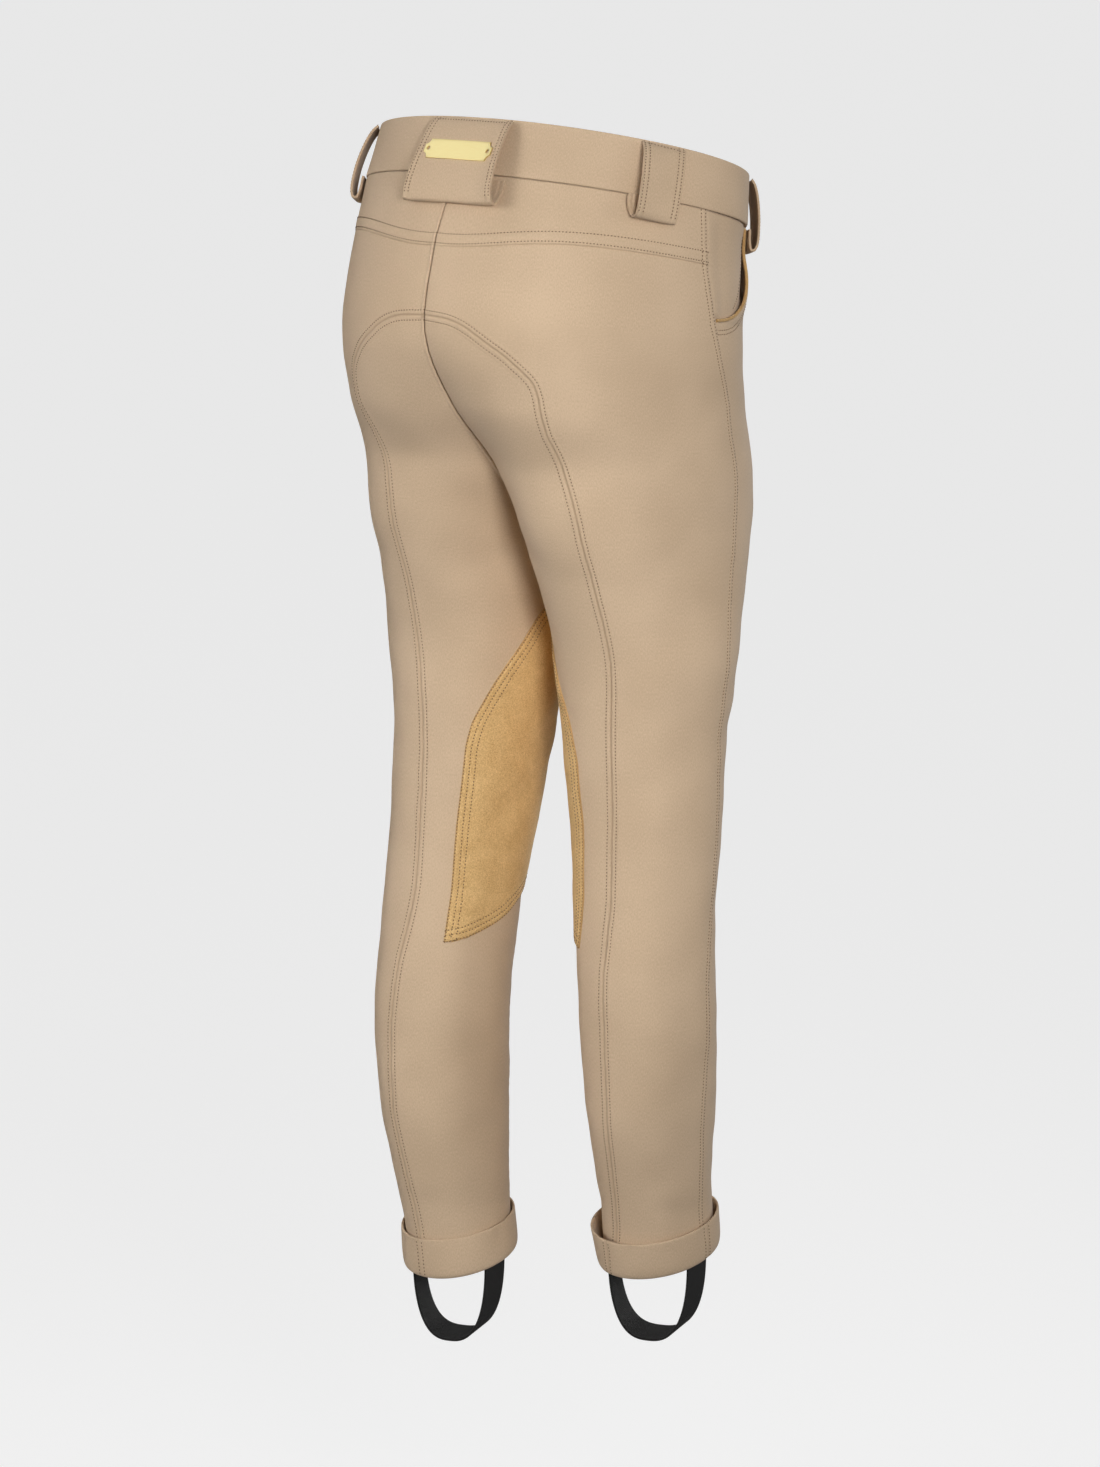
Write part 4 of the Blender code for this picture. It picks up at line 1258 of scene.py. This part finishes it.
# %% The waistband
BAND_WALL = 2.7
BAND_PROUD = 0.6
BAND_GAP = 0.3
BAND_UNDERLAP = 2.0
BAND_OVERLAP = 14.0
BAND_STEP_START = 166.0
BAND_STEP_END = 176.0
BAND_ROUND = 0.9
BAND_COLUMNS = 380
BAND_ROWS = stretches((0.0, 3.0, 0.75), (3.0, 31.5, 2.2), (31.5, BAND_HEIGHT - HALF_GAP, 0.7))


def round_waist(turn, down, out):
    """Points round the whole waist. Turn is 0 at the back and grows to the wearer's left."""
    turn, down, out = np.broadcast_arrays(turn, down, out)
    turn = turn_from(0, turn)
    left = cloth(LEFT, np.abs(turn), down, out)
    right = cloth(RIGHT, np.abs(turn), down, out)
    return np.where((turn >= 0)[..., None], left, right)


def band_step(turn):
    """The lapped end steps out over the other end."""
    return (BAND_WALL + BAND_GAP) * ease(
        (turn - BAND_STEP_START) / (BAND_STEP_END - BAND_STEP_START)
    )


def make_waistband():
    turn = np.linspace(-180 - BAND_UNDERLAP, 180 + BAND_OVERLAP, BAND_COLUMNS + 1)[None, :]
    down = BAND_ROWS[:, None]
    base = round_waist(turn, down, BAND_PROUD + band_step(turn))
    away, along = distance_to(base, base[-1])
    relief = edge_relief(PLAIN_SEAM, away, along)
    points = round_waist(turn, down, BAND_PROUD + band_step(turn) + relief)
    off = round_waist(turn, down, 1.0) - round_waist(turn, down, 0.0)
    sewn_sheet("waistband", points, off, "cotton_twill", BAND_WALL, "waistband",
               rim=BAND_ROUND, seams=np.minimum(away, SEAM_REACH))


make_waistband()

# %% [markdown]
# A belt loop is a strip sewn down at the waist's top edge, hanging free over the belt's way,
# then folded under and caught again in the waist seam. The strip itself is a flattened tube
# of cloth, so each side carries two rows of stitches. Its section is a table: how far each bend
# lies off the waist, and how far down as a share of the loop's length.

# %% Belt loops
LOOP_WALL = 1.4
Bend = namedtuple("Bend", "out share")
LOOP_SECTION = [
    Bend(1.7, 0.04), Bend(4.0, 0.11), Bend(6.0, 0.24), Bend(7.4, 0.42), Bend(8.2, 0.62),
    Bend(8.3, 0.80), Bend(7.5, 0.93), Bend(5.8, 0.995), Bend(3.8, 1.0), Bend(2.4, 0.95),
    Bend(1.7, 0.84), Bend(1.6, 0.71),
]
LOOP_CURL = 0.0008
LOOP_STEPS = 66
LOOP_FACE = 0.56
LOOP_ROWS = (1.5, 4.7)
LOOP_TOP_ROW = 3.6
LOOP_TOP_ROW_OUT = 3.0
LOOP_PITCH = 2.2
LOOP_EDGE_DEEP = 0.25
LOOP_PALE = 0.4
LOOP_RIM = 0.35
WIDE_LOOP = 50.0
WIDE_LOOP_COLUMNS = 56
LOOP_COLUMNS = 34
LOOP_TOP_STOPS = 40
Loop = namedtuple("Loop", "name turn width widens long flare reach shift")
LOOPS = [
    Loop("belt_loop_centre_back", -1.5, 71.0, 0.14, 54.5, -3.2, 15.0, -3.5),
    Loop("belt_loop_side_back_left", 61.0, 31.0, 0.0, 49.5, 0.5, 31.0, 1.0),
    Loop("belt_loop_side_back_right", -61.0, 31.0, 0.0, 49.5, 7.0, 31.0, 4.0),
    Loop("belt_loop_front_left", 127.0, 31.0, 0.0, 51.5, 1.5, 31.0, 0.5),
    Loop("belt_loop_front_right", -127.0, 31.0, 0.0, 51.5, 0.0, 31.0, 0.5),
]
LOOP_OUT = max(bend.out for bend in LOOP_SECTION)
LOOP_FLARE_POWER = 1.5
LOOP_HIDDEN_STEP = 8.0
LOOP_HIDDEN_FADE = 2.5


def loop_place(loop, along, down, out):
    """Points of a loop, which is stiffer and so flatter than the waist under it."""
    side = LEFT if loop.turn >= 0 else RIGHT
    around = abs(loop.turn)
    here = surface(side, around, down)
    run = unit(surface(side, around + PROBE, down) - surface(side, around - PROBE, down))
    off = outward(side, around, down)
    return here + run * along[..., None] + off * (out - LOOP_CURL * along**2)[..., None]


def loose(loop, along, down, out, step=0.0):
    """A loop with one edge pulled outwards, and its hidden leg aside.

    Above zero, flare and shift act on the edge nearer the back, and below zero on the other.
    """
    hand = 1 if loop.flare >= 0 else -1
    share = np.clip(1 - (loop.width / 2 + hand * along) / loop.reach, 0.0, 1.0)
    flare = abs(loop.flare) * share**LOOP_FLARE_POWER * np.clip(out / LOOP_OUT, 0.0, 1.0)
    hidden = ease((step - LOOP_HIDDEN_STEP) / LOOP_HIDDEN_FADE)
    return loop_place(loop, along - loop.shift * hidden, down, out + flare)


def make_belt_loop(loop):
    """Bend a strip to its section, with its face half a wall off the middle of the cloth."""
    last = len(LOOP_SECTION) - 1
    step = np.linspace(0, last, LOOP_STEPS + 1)
    out = smooth([(i, bend.out) for i, bend in enumerate(LOOP_SECTION)])(step)
    down = smooth([(i, bend.share * loop.long) for i, bend in enumerate(LOOP_SECTION)])(step)
    run_out = np.gradient(out)
    run_down = np.gradient(down)
    reach = np.hypot(run_out, run_down)
    off_out = run_down / reach
    off_down = -run_out / reach
    face_out = out + off_out * LOOP_WALL / 2
    face_down = down + off_down * LOOP_WALL / 2
    columns = WIDE_LOOP_COLUMNS if loop.width > WIDE_LOOP else LOOP_COLUMNS
    share = crowd(columns, share=0.6)[None, :] - 0.5
    width = loop.width * (1 + loop.widens * (down / loop.long - 0.5))
    along = width[:, None] * share
    from_edge = width[:, None] * (0.5 - np.abs(share))
    relief = -LOOP_EDGE_DEEP * bell(from_edge, ROLL_REACH)
    relief -= CHANNEL_DEEP * sum(bell(from_edge - row, CHANNEL_WIDE) for row in LOOP_ROWS)
    number = np.broadcast_to(step[:, None], along.shape)
    points = loose(loop, along, face_down[:, None] + off_down[:, None] * relief,
                   face_out[:, None] + off_out[:, None] * relief, number)
    behind = loose(loop, along, np.broadcast_to(down[:, None], along.shape),
                   np.broadcast_to(out[:, None], along.shape), number)
    seams = np.minimum(from_edge + LOOP_PALE, SEAM_REACH)
    sewn_sheet(loop.name, points, points - behind, "cotton_twill", LOOP_WALL,
               loop.name, rim=LOOP_RIM, seams=seams)
    face = step <= last * LOOP_FACE
    lines = [
        loose(loop, hand * (width / 2 - row), face_down, face_out)[face]
        for row in LOOP_ROWS for hand in (-1, 1)
    ]
    top_width = loop.width * (1 - loop.widens / 2) - 2 * LOOP_ROWS[0]
    top = np.linspace(-0.5, 0.5, LOOP_TOP_STOPS) * top_width
    lines.append(loose(loop, top, np.full(top.shape, LOOP_TOP_ROW),
                       np.full(top.shape, LOOP_TOP_ROW_OUT)))
    for line in lines:
        sew("stitches_" + loop.name, loop.name, line, LOOP_PITCH)


for loop in LOOPS:
    make_belt_loop(loop)

# %% [markdown]
# The turn-up is a cuff: the end of the leg folded up outside itself. A closed section is swept
# round the hem. It is rounded at the fold below and at the edge above, stands off the leg to
# leave a dark gap, and is caught down by a few hidden tacks that dimple it. The section's table
# goes down the outer face and up the inner one: how far off the leg, and how far above the hem.

# %% Turn-ups
Corner = namedtuple("Corner", "out up")
TURN_UP_SECTION = [
    Corner(4.10, 26.2), Corner(4.00, 20.0), Corner(3.92, 14.0), Corner(3.65, 7.0),
    Corner(3.15, 2.8), Corner(2.30, 0.9), Corner(0.90, 0.2), Corner(-0.60, 0.2),
    Corner(-1.45, 0.9), Corner(-1.30, 1.8), Corner(-0.20, 2.1), Corner(0.80, 2.9),
    Corner(1.50, 5.0), Corner(1.85, 8.0), Corner(2.05, 16.0), Corner(2.15, 26.2),
    Corner(2.55, 27.0), Corner(3.20, 27.3), Corner(3.80, 27.0),
]
TURN_UP_TOP = 27.0
TURN_UP_MIDDLE = 2.0
TURN_UP_FACE = 4.0
TURN_UP_COLUMNS = 150
TURN_UP_WAVE = 0.4
TURN_UP_WAVES = 3
TURN_UP_WAVE_START = 40.0
OUTER_POINTS = 6
Lean = namedtuple("Lean", "around least most")
TURN_UP_LEAN = {LEFT: Lean(150, -1.0, 0.0), RIGHT: Lean(-60, 0.0, 5.0)}
TURN_UP_LEAN_POWER = 3
Tack = namedtuple("Tack", "side around up deep")
TACKS = [
    Tack(RIGHT, 11, 23, 1.5), Tack(RIGHT, -11, 17, 1.0), Tack(RIGHT, 87, 22, 1.4),
    Tack(RIGHT, 190, 21, 1.3), Tack(LEFT, -85, 22, 1.6), Tack(LEFT, 14, 21, 1.2),
    Tack(LEFT, 96, 22, 1.2), Tack(LEFT, 176, 23, 1.4),
]
TACK_REACH = 4.5
CUFF_SEAM_DEEP = 0.45
CUFF_SEAM_WIDE = 0.9
CUFF_ROWS = (-3.2, 1.3)
CUFF_CLIMB = np.linspace(2.5, 24.5, 12)


def turn_up_out(side, around, up, out):
    """How far off the cloth a point of the turn-up lies."""
    lean = TURN_UP_LEAN[side]
    towards = 0.5 + 0.5 * np.cos(np.radians(around - lean.around))
    flare = lean.least + (lean.most - lean.least) * towards**TURN_UP_LEAN_POWER
    flare += TURN_UP_WAVE * np.sin(np.radians(around * TURN_UP_WAVES + TURN_UP_WAVE_START))
    return out + flare * up / TURN_UP_TOP


def cuff_seams(side, around):
    """How far each place is from each of the two seams that run on over the turn-up."""
    return [
        np.radians(turn_from(seam(curve, side, np.array(HEM)), around)) * LEG_RADIUS
        for curve in (arch_curve, side_curve)
    ]


def turn_up_relief(side, around, up):
    """Seams and tacks, on the outer face."""
    relief = np.zeros(around.shape)
    for off in cuff_seams(side, around):
        relief -= CUFF_SEAM_DEEP * bell(off, CUFF_SEAM_WIDE)
    for tack in TACKS:
        if tack.side == side:
            off = np.radians(turn_from(tack.around, around)) * LEG_RADIUS
            relief -= tack.deep * bell(off, TACK_REACH) * bell(up - tack.up, TACK_REACH)
    return relief


def on_turn_up(side, around, up, out, relief=0.0):
    """Points of the turn-up, in millimetres."""
    return cloth(side, around, HEM - up, turn_up_out(side, around, up, out) + relief)


def make_turn_up(side_name, side):
    section = np.array(TURN_UP_SECTION + TURN_UP_SECTION[:1])[:, None, :]
    around = np.linspace(0, 360, TURN_UP_COLUMNS + 1)[None, :]
    out, up, around = np.broadcast_arrays(section[..., 0], section[..., 1], around)
    relief = turn_up_relief(side, around, up)
    relief[OUTER_POINTS:] = 0.0
    relief[-1] = relief[0]
    points = on_turn_up(side, around, up, out, relief)
    middle = on_turn_up(side, around, up, TURN_UP_MIDDLE)
    cuts, (width, length, _) = flat_cut(points)
    seams = np.minimum(np.abs(cuff_seams(side, around)).min(axis=0), SEAM_REACH)
    bm = grid_mesh(points, cuts, seams, points - middle)
    bmesh.ops.recalc_face_normals(bm, faces=bm.faces)
    name = "turn_up_" + side_name
    sheet_trees[name] = BVHTree.FromBMesh(bm)
    piece = add_piece(name, bm, "cotton_twill", name)
    finer = piece.modifiers.new("finer", "SUBSURF")
    finer.levels = 1
    finer.render_levels = 1
    print(name, "cut", round(width, 3), "x", round(length / 2, 3), "m")
    for curve in (arch_curve, side_curve):
        for row in CUFF_ROWS:
            turn = np.full(CUFF_CLIMB.shape, float(seam(curve, side, np.array(HEM), row)))
            line = on_turn_up(side, turn, CUFF_CLIMB, TURN_UP_FACE)
            sew("seam_stitches_" + name, name, line)


for side_name, side in SIDES.items():
    make_turn_up(side_name, side)

# %% [markdown]
# The foot straps are flat elastic webbing, sewn inside the hem at both sides of the leg. They
# hang as a loop, and their own stiffness holds them open.

# %% Foot straps
STRAP_WIDTH = 22.0
STRAP_WALL = 1.4
STRAP_RIM = 0.3
STRAP_CLEAR = 4.0
STRAP_DROP = 57.0
STRAP_TUCK = 15.0
STRAP_TILT = math.radians(15)
STRAP_YAW = math.radians(18)
STRAP_SIDE_POWER = 0.75
STRAP_FOOT_POWER = 0.9
STRAP_BEND_STEPS = 72
STRAP_TUCK_STEPS = 5
STRAP_PITCH = 1.8
STRAP_COLUMNS = 16
CLOTH_SOLID = 1.6


def strap_path(half_span):
    """Down from inside the hem, round under the foot and up again, seen from the front."""
    turn = np.pi * np.linspace(0, 1, STRAP_BEND_STEPS + 1)
    bend_x = half_span * np.sign(np.cos(turn)) * np.abs(np.cos(turn)) ** STRAP_SIDE_POWER
    bend_z = -STRAP_DROP * np.abs(np.sin(turn)) ** STRAP_FOOT_POWER
    tuck = np.linspace(STRAP_TUCK, 0, STRAP_TUCK_STEPS + 1)[:-1]
    tuck_x = np.full(STRAP_TUCK_STEPS, half_span)
    x = np.concatenate((tuck_x, bend_x, -tuck_x))
    z = np.concatenate((tuck, bend_z, tuck[::-1]))
    return evenly(np.stack((x, np.zeros(x.shape), z), axis=1), STRAP_PITCH)


def make_foot_strap(side_name, side):
    tuck_middle = HEM - STRAP_TUCK / 2
    middle = (surface(side, 0, tuck_middle) + surface(side, 180, tuck_middle)) / 2
    middle[2] -= STRAP_TUCK / 2
    width = surface(side, 90, tuck_middle) - surface(side, 270, tuck_middle)
    half_span = abs(width[0]) / 2 - CLOTH_SOLID - STRAP_CLEAR
    path = strap_path(half_span)
    yaw = STRAP_YAW * ease(0.5 + path[:, 0] / (2 * half_span))
    flat = math.cos(STRAP_TILT)
    drop = np.full(yaw.shape, -math.sin(STRAP_TILT))
    across = np.stack((-np.sin(yaw) * flat, np.cos(yaw) * flat, drop), axis=1)
    swing = half_span * np.stack((np.cos(yaw) - 1, np.sin(yaw), np.zeros(yaw.shape)), axis=1)
    inwards = unit(np.cross(across, np.gradient(path, axis=0)))[:, None, :]
    share = crowd(STRAP_COLUMNS, share=0.5)[None, :, None] - 0.5
    centre = (middle + path + swing)[:, None, :]
    points = centre + across[:, None, :] * share * STRAP_WIDTH - inwards * STRAP_WALL / 2
    off = np.broadcast_to(-inwards, points.shape)
    name = "foot_strap_" + side_name
    sewn_sheet(name, points, off, "black_elastic", STRAP_WALL, name,
               rim=STRAP_RIM)


for side_name, side in SIDES.items():
    make_foot_strap(side_name, side)

# %% [markdown]
# The plate is a little brass bar with a round notch out of each corner and a hole near each
# end. Its face is plain. Two cylinders cut the holes with a Boolean.

# %% The name plate
PLATE_LENGTH = 56.0
PLATE_HEIGHT = 12.0
PLATE_WALL = 1.0
PLATE_NOTCH = 3.4
PLATE_DOWN = 24.0
PLATE_SHIFT = 0.5
PLATE_CLEAR = 0.3
PLATE_HOLE = 1.4
PLATE_HOLE_IN = 3.2
PLATE_FACE_POINTS = 7
PLATE_RIM = 0.4
PLATE_RIM_SEGMENTS = 2
PLATE_COLUMNS = 30
PLATE_ROWS = 9
NOTCH_STEP = 10
DRILL_LONG = 12.0
DRILL_AIM = 5.0
DRILL_SEGMENTS = 24
PLATE_RIM_ANGLE = 40
PLATE_SHARP_ANGLE = math.radians(35)


def plate_outline():
    """Places along the plate, closer together at the notches, and its half height at each."""
    half = PLATE_LENGTH / 2
    bends = [
        half - PLATE_NOTCH * math.sin(math.radians(turn)) for turn in range(0, 91, NOTCH_STEP)
    ]
    inner = list(np.linspace(bends[-1], -bends[-1], PLATE_COLUMNS))[1:-1]
    edges = np.array(bends + inner + [-value for value in bends[::-1]])
    inside = np.maximum(np.abs(edges) - (half - PLATE_NOTCH), 0.0)
    notch = np.sqrt(np.maximum(PLATE_NOTCH**2 - (PLATE_NOTCH - inside) ** 2, 0.0))
    return edges, PLATE_HEIGHT / 2 - notch


def add_drill(foot, aim):
    """A cylinder through the plate, in metres."""
    bm = bmesh.new()
    turned = (aim - foot).to_track_quat("Z", "Y").to_matrix().to_4x4()
    bmesh.ops.create_cone(
        bm, cap_ends=True, segments=DRILL_SEGMENTS, radius1=PLATE_HOLE * MM,
        radius2=PLATE_HOLE * MM, depth=DRILL_LONG * MM, matrix=Matrix.Translation(foot) @ turned,
    )
    return add_mesh("drill", bm)


def make_name_plate():
    loop = LOOPS[0]
    face = smooth([
        (bend.share * loop.long, bend.out) for bend in LOOP_SECTION[:PLATE_FACE_POINTS]
    ])
    edges, height = plate_outline()
    down = PLATE_DOWN + np.linspace(-1, 1, PLATE_ROWS)[:, None] * height[None, :]
    along = edges[None, :] + np.zeros(down.shape) + PLATE_SHIFT
    back = face(down) + LOOP_WALL / 2 + PLATE_CLEAR
    points = loose(loop, along, down, back + PLATE_WALL)
    off = points - loose(loop, along, down, back)
    bm = grid_mesh(points, flat_cut(points)[0], np.full(points.shape[:2], SEAM_REACH), off)
    plate = add_piece("name_plate", bm, "polished_brass", "name_plate")
    add_wall(plate, PLATE_WALL)
    drills = []
    for hand in (-1, 1):
        spot = np.array([hand * (PLATE_LENGTH / 2 - PLATE_HOLE_IN) + PLATE_SHIFT])
        down = np.array([PLATE_DOWN])
        foot, aim = (
            Vector(loose(loop, spot, down, face(down) + out)[0]) * MM for out in (0, DRILL_AIM)
        )
        drills.append(add_drill(foot, aim))
        hole = plate.modifiers.new("hole", "BOOLEAN")
        hole.object = drills[-1]
    add_bevel(plate, PLATE_RIM, PLATE_RIM_SEGMENTS, PLATE_RIM_ANGLE)
    finished = plate.evaluated_get(bpy.context.evaluated_depsgraph_get())
    made = bpy.data.meshes.new_from_object(finished)
    plate.modifiers.clear()
    plate.data = made
    for drill in drills:
        bpy.data.objects.remove(drill, do_unlink=True)
    made.shade_smooth()
    made.set_sharp_from_angle(angle=PLATE_SHARP_ANGLE)


make_name_plate()

# %% [markdown]
# The fly front is a curved overlay that laps over at the centre front. The picture doesn't show
# it, so it is the plainest one that such a garment has.

# %% The fly front
FLY_WIDTH = 17.0
FLY_STRAIGHT = 160.0
FLY_END = 192.0
FLY_WALL = 1.3
FLY_GAP = 0.8
FLY_TOP = TOP + 0.3


def fly_edge(side, down):
    share = np.clip((down - FLY_STRAIGHT) / (FLY_END - FLY_STRAIGHT), 0.0, 1.0)
    return centre_front(side, down) - FLY_WIDTH * np.sqrt(1 - share**2)


leg_panel(
    "fly_front", LEFT, stretches((FLY_TOP, 150, 2.4), (150, FLY_END, 0.8)),
    fly_edge, centre_front, [Border("start", FLY_EDGE), Border("end", CUT_EDGE)],
    columns=24, proud=raised(FLY_GAP + FLY_WALL), wall=FLY_WALL, rim=0.3,
)

# %% [markdown]
# The button is turned metal, like a rivet with a raised rim. Its profile goes from the middle of
# the foot out and back to the middle of the top, and one turn of it makes the form.

# %% The waistband button
BUTTON_TURN = 186.0
BUTTON_DOWN = 18.5
BUTTON_STEPS = 48
BUTTON_SHARP_ANGLE = math.radians(50)
Ring = namedtuple("Ring", "radius rise")
BUTTON_PROFILE = [
    Ring(0.0, 0.0), Ring(3.2, 0.0), Ring(3.4, 0.6), Ring(7.6, 0.7), Ring(8.4, 1.2),
    Ring(8.5, 1.8), Ring(8.1, 2.3), Ring(7.3, 2.4), Ring(6.7, 2.1), Ring(6.2, 1.7),
    Ring(4.0, 1.6), Ring(1.6, 1.75), Ring(0.0, 1.8),
]


def make_button():
    """Turn the profile once round, then set it on the lapped end of the waistband."""
    out = BAND_PROUD + BAND_WALL + 2 * BAND_GAP
    foot = Vector(round_waist(BUTTON_TURN, BUTTON_DOWN, out)) * MM
    above = Vector(round_waist(BUTTON_TURN, BUTTON_DOWN, out + 1)) * MM
    last = len(BUTTON_PROFILE) - 1
    bm = bmesh.new()
    bmesh.ops.create_grid(bm, x_segments=last, y_segments=BUTTON_STEPS, size=0.5)
    for vert in bm.verts:
        ring = BUTTON_PROFILE[round((vert.co.x + 0.5) * last)]
        turn = 2 * math.pi * (vert.co.y + 0.5)
        flat = (ring.radius * math.cos(turn), ring.radius * math.sin(turn))
        vert.co = Vector((*flat, ring.rise)) * MM
    bmesh.ops.remove_doubles(bm, verts=bm.verts, dist=MERGE_DISTANCE)
    bmesh.ops.dissolve_degenerate(bm, edges=bm.edges, dist=MERGE_DISTANCE)
    bmesh.ops.recalc_face_normals(bm, faces=bm.faces)
    turned = (above - foot).to_track_quat("Z", "Y").to_matrix().to_4x4()
    bmesh.ops.transform(bm, matrix=Matrix.Translation(foot) @ turned, verts=bm.verts)
    piece = add_piece("waistband_button", bm, "polished_brass", "waistband_button")
    piece.data.set_sharp_from_angle(angle=BUTTON_SHARP_ANGLE)


make_button()
print("button done")


# %% Join the stitches
def make_stitches():
    """One small form, copied for each stitch of a row and joined."""
    form = bmesh.new()
    bmesh.ops.create_icosphere(form, subdivisions=1, radius=0.5)
    seed = bpy.data.meshes.new("stitch_seed")
    form.to_mesh(seed)
    corners = np.array([(*vert.co, 1.0) for vert in form.verts])
    form.free()
    total = 0
    for group, places in stitches.items():
        bm = bmesh.new()
        for _ in places:
            bm.from_mesh(seed)
        spots = np.concatenate([corners @ np.array(place).T for place in places])
        for vert, spot in zip(bm.verts, spots):
            vert.co = spot[:3]
        gold = "patch" in group
        add_piece(group, bm, "gold_thread" if gold else "tan_thread")
        total += len(places)
    bpy.data.meshes.remove(seed)
    return total


print("stitches:", make_stitches(), "in", len(stitches), "pieces")

# %% [markdown]
# The studio: a plain pale floor and soft white light. The key is a small square just to the
# right of the camera, so the near leg shades the inside of the far one. Two wide squares fill
# the sides, a high one on the left is what the brass plate mirrors, and one more lights the
# front for the other views. A narrow spread lights the middle more than the ends.

# %% Floor and light
FLOOR_DOWN = -1.15
FLOOR_SIZE = 90.0
FLOOR = {"Base Color": (0.29, 0.29, 0.29, 1.0), "Roughness": 0.9,
         "Emission Color": (1.0, 1.0, 1.0, 1.0)}
BACKGROUND = (0.823, 0.823, 0.823)
SKY = (0.16, 0.16, 0.16)
FLOOR_GLOW = 0.75
Softbox = namedtuple("Softbox", "name turn reach height size power spread")
SOFTBOXES = [
    Softbox("key", 49.0, 3.0, 0.35, 0.8, 3.0, 36.0),
    Softbox("left_fill", -24.0, 3.0, 0.3, 1.8, 4.5, 36.0),
    Softbox("right_fill", 106.0, 3.2, 0.3, 1.6, 1.5, 38.0),
    Softbox("high_left", -56.0, 2.6, 2.5, 2.2, 13.0, 180.0),
    Softbox("front_fill", 190.0, 3.2, 0.5, 2.2, 2.6, 40.0),
]
AIM = Vector((0.0, 0.0, -0.30))


def make_floor():
    bm = bmesh.new()
    bmesh.ops.create_grid(bm, x_segments=1, y_segments=1, size=FLOOR_SIZE / 2)
    bmesh.ops.translate(bm, verts=bm.verts, vec=(0, 0, FLOOR_DOWN))
    floor = add_mesh("floor", bm)
    tree, shader = start_material("pale_floor", FLOOR)
    seen = add_node(tree, "ShaderNodeLightPath").outputs["Is Camera Ray"]
    tree.links.new(maths(tree, "MULTIPLY", seen, FLOOR_GLOW), shader.inputs["Emission Strength"])
    floor.data.materials.append(bpy.data.materials["pale_floor"])


def make_sky():
    world = bpy.data.worlds.new("studio")
    world.use_nodes = True
    tree = world.node_tree
    back = tree.nodes["Background"]
    seen = add_node(tree, "ShaderNodeLightPath").outputs["Is Camera Ray"]
    tree.links.new(blend_colours(tree, seen, SKY, BACKGROUND), back.inputs["Color"])
    bpy.context.scene.world = world


def make_softbox(box):
    data = bpy.data.lights.new(box.name, "AREA")
    data.shape = "SQUARE"
    data.size = box.size
    data.energy = box.power
    data.spread = math.radians(box.spread)
    light = add_object(box.name, data)
    light.location = stand(box.turn, box.reach, box.height)
    light.rotation_euler = (AIM - light.location).to_track_quat("-Z", "Y").to_euler()


make_floor()
make_sky()
for box in SOFTBOXES:
    make_softbox(box)
bpy.context.scene.view_settings.view_transform = "Standard"
print("lights:", len(SOFTBOXES))
